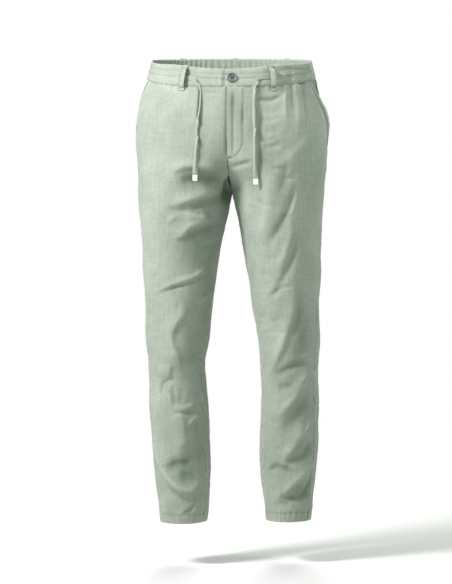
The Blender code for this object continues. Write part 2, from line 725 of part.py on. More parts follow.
def button():
    """A dished four-hole button that closes the waistband."""
    seam = WAIST_SEAM_SIDE - WAIST_SEAM_FRONT_DROP
    angle = shifted(LEFT, centre_angle(LEFT, seam, FRONT), seam, -BUTTON_PAST_CENTRE)
    z = waist_seam(angle) + BAND_HEIGHT / 2
    point, normal = leaning(LEFT, angle, z, BAND_PROUD + SEAM_GAP + 0.0003)
    profile = [  # radius, height
        (BUTTON_RADIUS - 0.0012, 0.0),
        (BUTTON_RADIUS, BUTTON_THICK * 0.45),
        (BUTTON_RADIUS - 0.0004, BUTTON_THICK * 0.85),
        (BUTTON_RADIUS - 0.0010, BUTTON_THICK),
        (BUTTON_RADIUS - BUTTON_RIM, BUTTON_THICK),
        (BUTTON_RADIUS - BUTTON_RIM - 0.0008, BUTTON_THICK - BUTTON_DISH),
    ]
    sides = 24
    mesh = bmesh.new()
    rings = []
    for radius, rise in profile:
        turn = [2 * math.pi * k / sides for k in range(sides)]
        rings.append([mesh.verts.new((radius * math.cos(a), radius * math.sin(a), rise)) for a in turn])
    for first, second in zip(rings, rings[1:]):
        for k in range(sides):
            mesh.faces.new((first[k], first[(k + 1) % sides], second[(k + 1) % sides], second[k]))
    mesh.faces.new(rings[0][::-1])
    mesh.faces.new(rings[-1])
    made = finish_mesh("button", mesh, "horn_button")
    place = normal.to_track_quat("Z", "Y")
    for k in range(4):
        corner = math.radians(45 + 90 * k)
        hole = bmesh.new()
        bmesh.ops.create_cone(
            hole,
            cap_ends=True,
            segments=10,
            radius1=BUTTON_HOLE_RADIUS,
            radius2=BUTTON_HOLE_RADIUS,
            depth=BUTTON_THICK * 3,
        )
        cutter = finish_mesh(f"button_hole_{k}", hole, "horn_button")
        cutter.location = point + place @ Vector(
            (BUTTON_HOLE_SPREAD * math.cos(corner), BUTTON_HOLE_SPREAD * math.sin(corner), BUTTON_THICK / 2)
        )
        cutter.rotation_euler = place.to_euler()
        cutter.hide_render = True
        cutter.display_type = "WIRE"
        cut = made.modifiers.new(f"hole_{k}", "BOOLEAN")
        cut.operation = "DIFFERENCE"
        cut.object = cutter
    made.location = point
    made.rotation_euler = place.to_euler()
    return made


def smooth_route(points, count):
    """Evenly spaced points on a smooth curve through the route's own points."""
    points = [Vector(point) for point in points]
    ends = [2 * points[0] - points[1]] + points + [2 * points[-1] - points[-2]]
    fine = []
    for k in range(1, len(ends) - 2):
        a, b, c, d = ends[k - 1 : k + 3]
        for step in range(12):
            t = step / 12
            fine.append(
                0.5 * (2 * b + (c - a) * t + (2 * a - 5 * b + 4 * c - d) * t**2 + (3 * b - a - 3 * c + d) * t**3)
            )
    fine.append(points[-1])
    lengths = [0.0]
    for first, second in zip(fine, fine[1:]):
        lengths.append(lengths[-1] + (second - first).length)
    found, k = [], 0
    for j in range(count):
        target = lengths[-1] * j / (count - 1)
        while k < len(fine) - 2 and lengths[k + 1] < target:
            k += 1
        share = (target - lengths[k]) / (lengths[k + 1] - lengths[k])
        found.append(fine[k].lerp(fine[k + 1], share))
    return found


def drawcord(side):
    """A flat tape, its wide face against the cloth."""
    route = smooth_route(CORD_ROUTES[side], CORD_POINTS)
    curve = bpy.data.curves.new(f"drawcord_{side_name(side)}", "CURVE")
    curve.dimensions = "3D"
    curve.twist_mode = "MINIMUM"
    curve.extrude = CORD_WIDTH / 2 - CORD_THICK / 2
    curve.bevel_depth = CORD_THICK / 2
    curve.bevel_resolution = 2
    curve.use_fill_caps = True
    spline = curve.splines.new("POLY")
    spline.points.add(len(route) - 1)
    for spot, point in zip(spline.points, route):
        spot.co = (*point, 1.0)
    curve.materials.append(material("cotton_tape"))
    cord = bpy.data.objects.new(curve.name, curve)
    bpy.context.scene.collection.objects.link(cord)
    return route


def cord_tip(side, route):
    """The stitched end that caps a drawcord."""
    along = (route[-1] - route[-2]).normalized()
    across = (Vector((1, 0, 0)) - along * along.x).normalized()
    middle = route[-1] + along * (SEAM_GAP + TIP_LENGTH / 2)
    mesh = bmesh.new()
    bmesh.ops.create_cube(mesh, size=1.0)
    bmesh.ops.scale(mesh, vec=(TIP_WIDTH, TIP_THICK, TIP_LENGTH), verts=mesh.verts)
    bmesh.ops.bevel(
        mesh, geom=mesh.edges[:], offset=0.0007, offset_type="OFFSET", segments=2, profile=0.5, affect="EDGES"
    )
    tip = finish_mesh(f"cord_tip_{side_name(side)}", mesh, "tip_white")
    tip.location = middle
    tip.rotation_euler = Matrix((across, along.cross(across), along)).transposed().to_euler()
    return tip


def build():
    clear_scene()
    for side in (RIGHT, LEFT):
        back = back_grid(side)
        panel(f"front_{side_name(side)}", front_grid(side, gaping=True))
        panel(f"back_{side_name(side)}", back)
        pocket(side, front_grid(side, gaping=False), back)
        front_band(side)
        cord_tip(side, drawcord(side))
    back_band()
    fly_facing(front_grid(LEFT, gaping=True))
    belt_loops()
    button()


build()
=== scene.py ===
import math

import bmesh
import bpy
import numpy as np
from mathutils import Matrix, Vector


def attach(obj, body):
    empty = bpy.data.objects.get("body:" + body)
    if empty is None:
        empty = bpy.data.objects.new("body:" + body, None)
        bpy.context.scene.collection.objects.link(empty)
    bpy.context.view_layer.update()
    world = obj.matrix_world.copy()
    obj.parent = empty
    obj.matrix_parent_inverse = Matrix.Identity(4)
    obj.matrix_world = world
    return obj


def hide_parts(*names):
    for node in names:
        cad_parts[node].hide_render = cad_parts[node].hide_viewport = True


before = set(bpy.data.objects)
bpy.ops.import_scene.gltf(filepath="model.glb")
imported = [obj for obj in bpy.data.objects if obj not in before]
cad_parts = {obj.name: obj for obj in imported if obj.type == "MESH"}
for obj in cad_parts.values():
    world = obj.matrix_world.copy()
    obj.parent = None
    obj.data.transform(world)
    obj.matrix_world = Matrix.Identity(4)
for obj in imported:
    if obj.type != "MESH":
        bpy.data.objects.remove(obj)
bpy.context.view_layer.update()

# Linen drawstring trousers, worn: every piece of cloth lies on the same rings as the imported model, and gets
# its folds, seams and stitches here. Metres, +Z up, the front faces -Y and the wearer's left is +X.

mm = 0.001
right, left = -1, 1  # the wearer's
front, back = 1, -1
sideName = {right: "Right", left: "Left"}
nodeSide = {right: "right", left: "left"}

# the shape all the cloth lies on: a ring round each leg at every height, the two merging above the crotch
figure = {
    "hips": [  # height, reach to the wearer's right, reach to the left
        (0.045, 0.1625, 0.1620), (0.010, 0.1705, 0.1700), (-0.020, 0.1790, 0.1775),
        (-0.062, 0.1925, 0.1870), (-0.105, 0.2005, 0.1975), (-0.145, 0.2022, 0.2010),
        (-0.190, 0.1998, 0.1995), (-0.254, 0.1957, 0.1940),
    ],
    "partings": [  # height, how far the two rings have parted
        (-0.045, 0.000), (-0.080, 0.018), (-0.120, 0.100), (-0.160, 0.268), (-0.190, 0.450), (-0.215, 0.680),
        (-0.235, 0.900), (-0.246, 0.974), (-0.254, 1.000),
    ],
    "depths": [  # height, reach forwards, reach backwards
        (0.045, 0.108, 0.106), (0.010, 0.115, 0.108), (-0.020, 0.120, 0.114), (-0.062, 0.126, 0.128),
        (-0.105, 0.128, 0.140), (-0.145, 0.127, 0.147), (-0.190, 0.121, 0.145), (-0.225, 0.114, 0.137),
        (-0.254, 0.108, 0.128), (-0.305, 0.102, 0.116), (-0.370, 0.096, 0.107), (-0.480, 0.085, 0.094),
        (-0.600, 0.073, 0.076), (-0.720, 0.062, 0.075), (-0.840, 0.053, 0.077), (-0.942, 0.047, 0.075),
    ],
    "legs": {  # height, outer reach, inner reach
        right: [
            (-0.254, 0.1957, 0.0000), (-0.275, 0.1945, 0.0040), (-0.305, 0.1928, 0.0111),
            (-0.370, 0.1880, 0.0252), (-0.440, 0.1850, 0.0336), (-0.500, 0.1805, 0.0415),
            (-0.560, 0.1790, 0.0485), (-0.605, 0.1760, 0.0560), (-0.650, 0.1735, 0.0530),
            (-0.710, 0.1712, 0.0502), (-0.780, 0.1672, 0.0460), (-0.850, 0.1602, 0.0452),
            (-0.905, 0.1532, 0.0480), (-0.942, 0.1483, 0.0540),
        ],
        left: [
            (-0.254, 0.1940, 0.0000), (-0.275, 0.1925, 0.0062), (-0.305, 0.1905, 0.0126),
            (-0.370, 0.1882, 0.0242), (-0.440, 0.1867, 0.0357), (-0.485, 0.1832, 0.0420),
            (-0.550, 0.1848, 0.0535), (-0.605, 0.1822, 0.0592), (-0.650, 0.1815, 0.0611),
            (-0.710, 0.1833, 0.0603), (-0.780, 0.1815, 0.0592), (-0.850, 0.1765, 0.0606),
            (-0.905, 0.1705, 0.0675), (-0.942, 0.1665, 0.0725),
        ],
    },
    "stride": {right: -0.018, left: 0.014},  # how far each hem stands forward (-) or back (+)
    "shear": 0.0826,  # the body turns a little to its right
    "seamTurn": math.radians(2.5),
    "crotch": -0.254,
    "hem": -0.942,
    "waist": -0.013,  # the waist seam at the sides
    "waistDrop": 0.0315,  # and how much lower it is at the front
    "waistRise": 0.015,  # and higher at the back
    "levelFade": -0.200,  # below this a grid level is level
    "waistRadius": 0.110,  # metres of cloth for each radian round the waist, roughly
    "narrowing": math.radians(27),  # the back panels are wider than the fronts down the leg
    "narrowingFrom": -0.300,
    "narrowingTo": -0.640,
}


def ease(value):
    value = np.clip(value, 0.0, 1.0)
    return value * value * (3 - 2 * value)


def bell(away, width):
    return np.exp(-((away / width) ** 2))


def blunt(value, power):
    # squares off a circle's sine or cosine
    return np.sign(value) * np.abs(value) ** power


def unit(vectors):
    return vectors / np.linalg.norm(vectors, axis=-1, keepdims=True)


def lengthAlong(points):
    return np.concatenate([[0], np.linalg.norm(np.diff(points, axis=0), axis=1).cumsum()])


def tableCurve(rows):
    # a smooth curve through rows that run downwards; each row is a height and its values
    rows = np.array(rows, float)[::-1]
    heights, values = rows[:, 0], rows[:, 1:]
    first, last = np.arange(len(rows)) - 1, np.arange(len(rows)) + 1
    first[0], last[-1] = 0, len(rows) - 1
    slopes = (values[last] - values[first]) / (heights[last] - heights[first])[:, None]

    def read(z):
        z = np.clip(z, heights[0], heights[-1])
        k = np.clip(np.searchsorted(heights, z) - 1, 0, len(heights) - 2)
        step = (heights[k + 1] - heights[k])[..., None]
        t = (z - heights[k])[..., None] / step
        rise, fall = slopes[k] * step, slopes[k + 1] * step
        start, end = values[k], values[k + 1]
        bend = 3 * (end - start) - 2 * rise - fall + t * (2 * (start - end) + rise + fall)
        return start + t * (rise + t * bend)

    return read


hipAt = tableCurve(figure["hips"])
partingAt = tableCurve(figure["partings"])
depthAt = tableCurve(figure["depths"])
legAt = {side: tableCurve(rows) for side, rows in figure["legs"].items()}


def ringAt(side, z):
    # the ellipse round one side at height z: middle x counted outwards, middle y, half width and half depth
    z = np.asarray(z, float)
    depth, hip, leg = depthAt(z), hipAt(z), legAt[side](z)
    parted = np.clip(partingAt(z)[..., 0], 0, 1)
    above = z >= figure["crotch"]
    reach = hip[..., 0 if side == right else 1]
    halfWidth = np.where(above, reach / (1 + parted), (leg[..., 0] - leg[..., 1]) / 2)
    middleX = np.where(above, parted * halfWidth, (leg[..., 0] + leg[..., 1]) / 2)
    stride = figure["stride"][side] * ease((figure["crotch"] - z) / (figure["crotch"] - figure["hem"]))
    middleY = (depth[..., 1] - depth[..., 0]) / 2 + stride
    return middleX, middleY, halfWidth, (depth[..., 0] + depth[..., 1]) / 2


def surfaceAt(side, angle, z):
    # angle 0 is outermost, a quarter turn the front, minus a quarter the back
    middleX, middleY, halfWidth, halfDepth = ringAt(side, z)
    forward = halfDepth * np.sin(angle)
    x = side * (middleX + halfWidth * np.cos(angle)) - figure["shear"] * forward
    return np.stack([x, middleY - forward, np.broadcast_to(z, x.shape)], -1)


def normalAt(side, angle, z):
    step = 0.004
    up = surfaceAt(side, angle, z + step) - surfaceAt(side, angle, z - step)
    across = surfaceAt(side, angle + step, z) - surfaceAt(side, angle - step, z)
    return unit(np.cross(up, across) * side)


def arcStep(side, angle, z):
    # metres of cloth for each radian
    _, _, halfWidth, halfDepth = ringAt(side, z)
    runY = -halfDepth * np.cos(angle)
    runX = -side * halfWidth * np.sin(angle) + figure["shear"] * runY
    return np.hypot(runX, runY)


def angleAt(side, face, x, z):
    # the angle at which the front or the back of one side has this x
    middleX, _, halfWidth, halfDepth = ringAt(side, z)
    lean = figure["shear"] * halfDepth
    reach, turn = np.hypot(halfWidth, lean), np.arctan2(lean, halfWidth)
    share = np.clip((side * np.asarray(x, float) - middleX) / reach, -0.999, 0.999)
    return face * np.arccos(share) - side * turn


def centreAngle(side, z, face):
    middleX, _, halfWidth, _ = ringAt(side, z)
    return face * np.arccos(np.clip(-middleX / halfWidth, -1, 1))


def narrowingAt(z):
    share = (figure["narrowingFrom"] - z) / (figure["narrowingFrom"] - figure["narrowingTo"])
    return figure["narrowing"] * ease(share)


def sideSeam(side, z):
    return side * figure["seamTurn"] + narrowingAt(z)


def innerEdge(side, z, face):
    inseam = math.pi - narrowingAt(z)
    inseam = inseam if face == front else inseam - 2 * math.pi
    return np.where(z >= figure["crotch"], centreAngle(side, z, face), inseam)


def waistSeam(angle):
    rise = np.sin(angle)
    return figure["waist"] - np.where(rise > 0, figure["waistDrop"], figure["waistRise"]) * rise


def heightOf(level, angle):
    # a grid level follows the dipping waist line near the top
    share = np.clip((level - figure["levelFade"]) / (figure["waist"] - figure["levelFade"]), 0, 1.1)
    return level + (waistSeam(angle) - figure["waist"]) * share**2


def smoothLine(points, count):
    # evenly spaced points on a smooth curve through a few points of any dimension
    points = np.array(points, float)
    ends = np.vstack([2 * points[0] - points[1], points, 2 * points[-1] - points[-2]])
    fine = []
    for k in range(1, len(ends) - 2):
        a, b, c, d = ends[k - 1:k + 3]
        t = np.linspace(0, 1, 24, endpoint=False)[:, None]
        curve = 2 * b + (c - a) * t + (2 * a - 5 * b + 4 * c - d) * t**2 + (3 * b - a - 3 * c + d) * t**3
        fine.append(0.5 * curve)
    fine = np.vstack(fine + [points[-1:]])
    walked = lengthAlong(fine)
    target = np.linspace(0, walked[-1], count)
    return np.stack([np.interp(target, walked, fine[:, k]) for k in range(fine.shape[1])], -1)


# folds placed one by one, in millimetres; a crease's lean makes one of its flanks the steeper
creases = {
    "seed": 11,
    "strength": 1.45,
    "fade": 0.3,  # share of a crease's length over which each end dies away
    "small": {"onEachSide": 340, "length": (12, 50), "lift": (0.30, 1.20), "width": (2.2, 4.6), "lean": 0.3},
    "waves": [(150, 0.9), (85, 0.6), (47, 0.35), (24, 0.16)],  # length and swing
    "placed": {  # points (x, height), lift, width, lean
        (right, front): [  # down the leg
            ([(-131, -223), (-111, -211), (-90, -204), (-60, -207), (-17, -215)], 4.0, 10, 0.35),
            ([(-113, -236), (-86, -234), (-55, -231), (-17, -234)], -3.2, 10, 0.0),
            ([(-131, -285), (-98, -276), (-60, -264), (-33, -252), (-11, -240)], 4.4, 10, 0.35),
            ([(-94, -293), (-60, -280), (-33, -270), (-13, -258)], -3.8, 10, 0.0),
            ([(-137, -291), (-106, -295), (-80, -291)], -2.2, 7, 0.0),
            ([(-135, -321), (-123, -313), (-111, -305)], 1.8, 5, 0.2),
            ([(-100, -313), (-72, -309), (-43, -305)], 1.8, 6, 0.2),
            ([(-129, -354), (-106, -348), (-86, -329), (-57, -315), (-37, -303)], 4.0, 8, 0.3),
            ([(-100, -352), (-68, -338), (-41, -329), (-19, -321)], -3.2, 8, 0.0),
            ([(-66, -362), (-43, -354), (-23, -344)], 2.0, 7, 0.2),
            ([(-174, -470), (-142, -456), (-114, -444), (-83, -434), (-62, -422), (-42, -409), (-28, -392)],
             3.0, 5, 0.35),
            ([(-158, -464), (-128, -456), (-105, -449), (-81, -440), (-56, -428), (-38, -414)], -1.6, 4, 0.0),
            ([(-76, -486), (-60, -475), (-42, -461)], 1.6, 3.5, 0.3),
            ([(-66, -478), (-53, -470), (-41, -458)], 1.8, 5, 0.0),
            ([(-82, -478), (-106, -509), (-125, -546), (-125, -570), (-113, -601), (-106, -640)],
             4.6, 14, -0.40),
            ([(-118, -690), (-104, -738), (-104, -776), (-116, -806)], 3.4, 14, -0.20),
            ([(-75, -650), (-64, -668), (-57, -706)], 1.3, 3, 0.0),
            ([(-158, -624), (-142, -622), (-120, -622)], 3.0, 14, 0.0),
            ([(-146, -680), (-144, -656), (-135, -646), (-121, -642), (-108, -646)], -2.0, 5, 0.0),
            ([(-129, -652), (-128, -672), (-127, -692)], 0.9, 4.5, 0.0),
            ([(-123, -654), (-120, -677), (-116, -702)], -1.4, 5, 0.0),
            ([(-102, -656), (-105, -680), (-112, -698)], -1.0, 6, 0.0),
            ([(-130, -703), (-110, -706), (-94, -702), (-70, -691)], 2.2, 5, 0.0),
            ([(-128, -709), (-108, -710), (-92, -711), (-74, -704)], -2.0, 5, 0.0),
            ([(-65, -714), (-79, -725), (-91, -742)], 2.2, 6, 0.2),
            ([(-146, -834), (-132, -827), (-118, -820), (-100, -816), (-78, -812)], -4.0, 10, 0.0),
            ([(-80, -786), (-86, -828), (-93, -866)], -2.4, 16, 0.0),
            ([(-162, -762), (-153, -802), (-137, -836), (-116, -862), (-93, -874), (-77, -868), (-58, -848)],
             4.6, 7, 0.0),
            ([(-140, -863), (-118, -878), (-100, -890), (-76, -904)], -3.2, 4.2, 0.0),
            ([(-102, -914), (-89, -915), (-75, -902)], -2.0, 4, 0.0),
            ([(-5, -220), (-11, -244), (-19, -274)], -5.0, 9, 0.0),
            # the belly, the waist and the gathers beside the pocket
            ([(-165, -4), (-140, -8), (-112, -19)], -2.0, 3.4, 0.0),
            ([(-150, -26), (-128, -30), (-108, -40)], -2.0, 3.4, 0.0),
            ([(-150, -92), (-128, -150), (-118, -196)], 1.4, 12, 0.0),
            ([(-60, -52), (-40, -56), (-18, -58)], -0.8, 4, 0.0),
        ],
        (left, front): [  # down the leg
            ([(-6, -206), (16, -202), (45, -195)], -2.2, 5, 0.0),
            ([(74, -193), (74, -238), (67, -316), (52, -378)], 4.0, 17, 0.3),
            ([(118, -190), (108, -222), (104, -262)], -2.2, 8, 0.0),
            ([(47, -274), (63, -280), (83, -289)], -1.5, 3.5, 0.0),
            ([(79, -209), (93, -210), (108, -213)], -1.4, 4, 0.0),
            ([(102, -227), (118, -229), (136, -231)], -0.8, 5, 0.0),
            ([(134, -232), (115, -294), (97, -329), (70, -376)], -3.0, 8, 0.0),
            ([(136, -246), (128, -284), (117, -314)], 1.4, 3.5, -0.2),
            ([(117, -306), (118, -346), (108, -385), (90, -424)], 2.6, 9, 0.2),
            ([(136, -340), (122, -396), (108, -430), (90, -462), (76, -486)], -2.6, 8, 0.0),
            ([(78, -474), (100, -455), (132, -448)], -1.6, 4, 0.0),
            ([(130, -440), (126, -499), (112, -545), (97, -590), (72, -640)], 4.8, 12, -0.35),
            ([(140, -420), (138, -480), (131, -525), (116, -576)], -2.0, 12, 0.0),
            ([(150, -520), (148, -560), (140, -606)], -2.4, 14, 0.0),
            ([(80, -634), (103, -628), (119, -619), (137, -614), (163, -606)], -3.0, 8, 0.0),
            ([(92, -662), (111, -658), (132, -658)], -2.2, 7, 0.0),
            ([(172, -604), (146, -652), (129, -682), (113, -701), (88, -728)], 3.6, 10, -0.2),
            ([(170, -668), (148, -700), (133, -724), (111, -742), (90, -744)], -3.2, 14, 0.0),
            ([(180, -576), (174, -615), (164, -645), (150, -672)], 1.8, 3, 0.0),
            ([(178, -662), (172, -700), (167, -722), (156, -745), (142, -770), (122, -798)], 2.0, 3, 0.0),
            ([(156, -738), (134, -772), (120, -795), (102, -818)], 3.4, 9, -0.3),
            ([(166, -766), (158, -790), (148, -804), (130, -812), (106, -813)], -4.0, 10, 0.0),
            ([(74, -849), (82, -832), (94, -826), (106, -829), (120, -835), (138, -845)], -3.2, 6, 0.0),
            ([(176, -792), (166, -824), (150, -840), (134, -856), (114, -875), (86, -899)], 3.8, 8, -0.3),
            ([(168, -838), (160, -869), (148, -888), (124, -893), (96, -893)], -4.2, 9, 0.0),
            ([(86, -908), (104, -903), (124, -909)], -2.0, 4.5, 0.0),
            # the belly, the waist and the gathers beside the pocket
            ([(42, -60), (61, -68), (84, -69), (104, -56)], -2.4, 4.5, 0.0),
            ([(80, -33), (104, -27), (128, -22), (166, -16)], -3.8, 3.4, 0.0),
            ([(88, -39), (110, -32), (130, -29), (166, -31)], -3.2, 3.2, 0.0),
            ([(86, -21), (110, -16), (136, -11), (164, -8)], 2.2, 4.0, 0.0),
            ([(86, -10), (112, -3), (136, 0), (162, 1)], -2.6, 3.2, 0.0),
            ([(59, -93), (79, -94), (104, -91)], -0.6, 6, 0.0),
            ([(61, -134), (83, -133), (108, -129)], -0.8, 7, 0.0),
            ([(59, -168), (83, -164), (108, -155)], -1.5, 6, 0.0),
            ([(163, -138), (136, -170), (102, -205)], 1.8, 12, 0.3),
            ([(106, 8), (109, -34), (108, -92), (114, -126)], 1.6, 5.5, 0.2),
            ([(119, 14), (120, -30), (125, -108)], -2.0, 4.0, 0.2),
            ([(129, 14), (130, -44), (136, -86), (134, -146)], 1.8, 6.0, 0.2),
            ([(143, 14), (146, -34), (149, -72), (157, -120)], -2.2, 4.5, 0.2),
            ([(157, 14), (161, -40), (168, -112)], 1.8, 4.4, 0.2),
            ([(56, -60), (60, -112), (55, -150), (59, -190), (64, -240)], -1.4, 5, 0.0),
            ([(20, -74), (22, -100), (20, -128)], -1.0, 3.0, 0.0),
            ([(52, -108), (76, -112), (100, -106)], -0.9, 4, 0.0),
            ([(50, -150), (72, -153), (96, -146)], -0.9, 4, 0.0),
        ],
        (right, back): [  # under the seat, behind the knee and down the calf
            ([(-20, -262), (-70, -282), (-120, -290), (-165, -280)], -4.5, 12, 0.0),
            ([(-15, -285), (-60, -306), (-115, -316), (-160, -306)], 3.6, 10, 0.3),
            ([(-40, -345), (-90, -362), (-150, -352)], -2.8, 10, 0.0),
            ([(-60, -330), (-95, -337), (-140, -330)], 2.0, 7, 0.2),
            ([(-165, -520), (-120, -545), (-70, -568), (-55, -585)], 4.0, 9, 0.3),
            ([(-160, -552), (-115, -574), (-72, -596)], -4.2, 9, 0.0),
            ([(-60, -600), (-105, -612), (-160, -604)], 3.8, 9, 0.3),
            ([(-65, -632), (-110, -642), (-160, -636)], -3.6, 9, 0.0),
            ([(-62, -668), (-100, -664), (-150, -676)], 2.8, 8, 0.2),
            ([(-150, -700), (-120, -725), (-70, -760)], 2.6, 9, 0.2),
            ([(-150, -780), (-110, -812), (-72, -850)], -2.6, 9, 0.0),
            ([(-140, -850), (-110, -868), (-75, -900)], 2.6, 8, 0.2),
            ([(-30, -120), (-34, -170), (-46, -225)], -2.4, 10, 0.0),
            ([(-175, -150), (-140, -190), (-90, -222)], 2.4, 12, 0.2),
        ],
        (left, back): [  # under the seat, behind the knee and down the calf
            ([(22, -262), (70, -280), (125, -292), (168, -278)], -4.5, 12, 0.0),
            ([(20, -286), (66, -304), (120, -318), (160, -304)], 3.4, 10, 0.3),
            ([(45, -350), (95, -360), (150, -345)], -2.8, 10, 0.0),
            ([(170, -500), (125, -528), (75, -560)], 3.8, 9, 0.3),
            ([(165, -545), (120, -572), (80, -592)], -4.2, 9, 0.0),
            ([(72, -602), (115, -616), (170, -606)], 3.8, 9, 0.3),
            ([(74, -634), (120, -648), (170, -640)], -3.6, 9, 0.0),
            ([(76, -672), (120, -668), (165, -682)], 2.6, 8, 0.2),
            ([(170, -720), (130, -752), (85, -790)], 3.0, 9, 0.2),
            ([(165, -790), (130, -822), (85, -862)], -2.8, 9, 0.0),
            ([(160, -870), (130, -882), (90, -905)], 2.2, 8, 0.2),
            ([(34, -118), (38, -172), (52, -228)], -2.4, 10, 0.0),
            ([(175, -145), (140, -186), (95, -222)], 2.4, 12, 0.2),
        ],
    },
    "paintedPatches": {  # painted shade and painted highlight patches: x, height, half width, half height, and how dark the painted shade is or, below nothing, how pale the painted highlight
        (right, front): [
            (-15, -266, 13, 18, 0.95), (-38, -340, 22, 60, 0.20), (-76, -770, 16, 66, 0.22),
            (-102, -838, 30, 22, 0.26), (-88, -565, 28, 72, 0.20), (-60, -60, 5, 26, 0.16),
            (-64, -150, 5, 60, 0.20), (-38, -222, 27, 20, 0.34), (-84, -220, 24, 12, 0.14),
            (-140, -290, 26, 60, 0.10), (-136, -600, 26, 40, 0.08),
        ],
        (left, front): [
            (-2, -72, 9, 22, 0.36), (146, -560, 24, 70, 0.16), (110, -790, 70, 130, 0.13),
            (140, -700, 20, 34, 0.14), (142, -792, 20, 18, 0.16), (140, -877, 24, 16, 0.20),
            (62, -250, 9, 60, 0.10), (58, -112, 6, 34, 0.34), (58, -184, 6, 38, 0.34),
            (104, -104, 36, 44, -0.30), (156, -196, 34, 46, 0.12), (126, -520, 22, 60, 0.10),
        ],
        (left, back): [
            (174, -45, 18, 48, 0.60),
        ],
    },
}


def creaseLine(side, face, points):
    flat = smoothLine(np.array(points, float) * mm, 14)
    return surfaceAt(side, angleAt(side, face, flat[:, 0], flat[:, 1]), flat[:, 1])


def smallCreases(side, random):
    # the fine crumple that linen keeps: short creases, most of them low and slanting
    small = creases["small"]
    made = []
    for _ in range(small["onEachSide"]):
        z = -0.05 - 0.88 * random.random() ** 0.85
        angle = random.uniform(-math.pi, math.pi)
        if z > figure["crotch"] and abs(angle) > 1.7:  # inside the other half of the hips
            continue
        length = random.uniform(*small["length"]) * mm * (1.3 if z < -0.5 else 1.0)
        slope = random.normal(0.0, 0.75)
        bend = random.normal(0.0, 0.15) * length
        along = np.linspace(-0.5, 0.5, 6) * length
        rise = along * math.sin(slope) + bend * (0.25 - (along / length) ** 2)
        turn = along * math.cos(slope) / arcStep(side, angle, z)
        line = surfaceAt(side, angle + turn, np.clip(z + rise, -0.93, 0.02))
        lift = random.choice([-1, 1]) * random.uniform(*small["lift"]) * mm
        width = random.uniform(*small["width"]) * mm
        made.append((line, lift, width, random.uniform(-small["lean"], small["lean"])))
    return made


def gatherCreases():
    random = np.random.RandomState(creases["seed"])
    lines = {right: [], left: []}
    for (side, face), rows in creases["placed"].items():
        for points, lift, width, lean in rows:
            line = creaseLine(side, face, points)
            lines[side].append((line, lift * mm * creases["strength"], width * mm, lean))
    for side in (right, left):
        lines[side] += smallCreases(side, random)
    waves = []
    for length, swing in creases["waves"]:
        for _ in range(5):
            direction = random.normal(size=3) * (1.0, 1.0, 0.8)
            direction /= np.linalg.norm(direction)
            stretch = random.uniform(0.8, 1.3)
            pitch = direction * 2 * math.pi / (length * mm * stretch)
            waves.append((pitch, random.uniform(0, 6.28), swing * mm / 2.2))
    return lines, waves


creaseLines, clothWaves = gatherCreases()


def creaseRise(side, points, normals):
    # how far the creases lift the cloth at these points
    shape = points.shape[:-1]
    points, normals = points.reshape(-1, 3), normals.reshape(-1, 3)
    rise = np.zeros(len(points))
    for wave, phase, swing in clothWaves:
        rise += swing * np.sin(points @ wave + phase)
    rise *= 0.35 + 0.65 * ease((-0.02 - points[:, 2]) / 0.09)  # calmer towards the waistband
    for line, lift, width, lean in creaseLines[side]:
        reach = 2.6 * width * (1 + abs(lean))
        low, high = line.min(0) - reach, line.max(0) + reach
        near = np.flatnonzero(((points > low) & (points < high)).all(1))
        if not len(near):
            continue
        run = line[1:] - line[:-1]
        here = points[near][:, None] - line[:-1][None]
        along = np.clip((here * run).sum(2) / (run**2).sum(1), 0, 1)
        off = here - along[..., None] * run
        gap = np.linalg.norm(off, axis=2)
        best = gap.argmin(1)
        pick = np.arange(len(near))
        share = (best + along[pick, best]) / len(run)
        flank = np.sign((np.cross(run[best], off[pick, best]) * normals[near]).sum(1))
        taper = ease(share / creases["fade"]) * ease((1 - share) / creases["fade"])
        rise[near] += lift * bell(gap[pick, best], width * (1 + lean * flank)) * taper
    return rise.reshape(shape)


# painted shade patches, and painted highlight patches where the share is below nothing
def paintedShadeAndHighlight(side, face, points):
    total = 0.0 * points[..., 0]
    for *place, share in creases["paintedPatches"].get((side, face), []):
        x, z, wide, tall = np.array(place) * mm
        total += share * bell(points[..., 0] - x, wide) * bell(points[..., 2] - z, tall)
    return total


def clothAt(side, angle, z, lift=0.0, calm=1.0):
    # a point of the worn cloth, its normal, and how far the creases lifted it
    angle, z = np.broadcast_arrays(np.asarray(angle, float), np.asarray(z, float))
    points, normals = surfaceAt(side, angle, z), normalAt(side, angle, z)
    rise = creaseRise(side, points, normals) * calm
    return points + normals * (rise + lift)[..., None], normals, rise


def meshObject(name, points, faces, material, uv=None, marks=None):
    data = bpy.data.meshes.new(name)
    data.from_pydata(points.reshape(-1, 3).tolist(), [], faces)
    data.shade_smooth()
    if uv is not None:
        layer = data.uv_layers.new(name="cloth")
        corners = np.empty(len(data.loops), np.int32)
        data.loops.foreach_get("vertex_index", corners)
        layer.data.foreach_set("uv", uv.reshape(-1, 2)[corners].astype(np.float32).ravel())
    for key, values in (marks or {}).items():
        layer = data.attributes.new(key, "FLOAT", "POINT")
        layer.data.foreach_set("value", np.asarray(values, np.float32).ravel())
    data.materials.append(material)
    obj = bpy.data.objects.new(name, data)
    bpy.context.scene.collection.objects.link(obj)
    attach(obj, "root")
    return obj


def sheetObject(name, points, material, uv, marks, thick, outward):
    # a grid of points as one layer of cloth; outward is a rough outward direction at its middle
    rows, columns = points.shape[:2]
    number = np.arange(rows * columns).reshape(rows, columns)
    a, b, c, d = number[:-1, :-1], number[1:, :-1], number[1:, 1:], number[:-1, 1:]
    i, j = rows // 2, columns // 2
    facing = np.cross(points[i + 1, j] - points[i, j], points[i, j + 1] - points[i, j])
    if facing @ outward < 0:
        b, d = d, b
    faces = np.stack([a, b, c, d], -1).reshape(-1, 4).tolist()
    obj = meshObject(name, points, faces, material, uv, marks)
    layer = obj.modifiers.new("clothThickness", "SOLIDIFY")
    layer.thickness = thick
    layer.offset = -1.0
    return obj


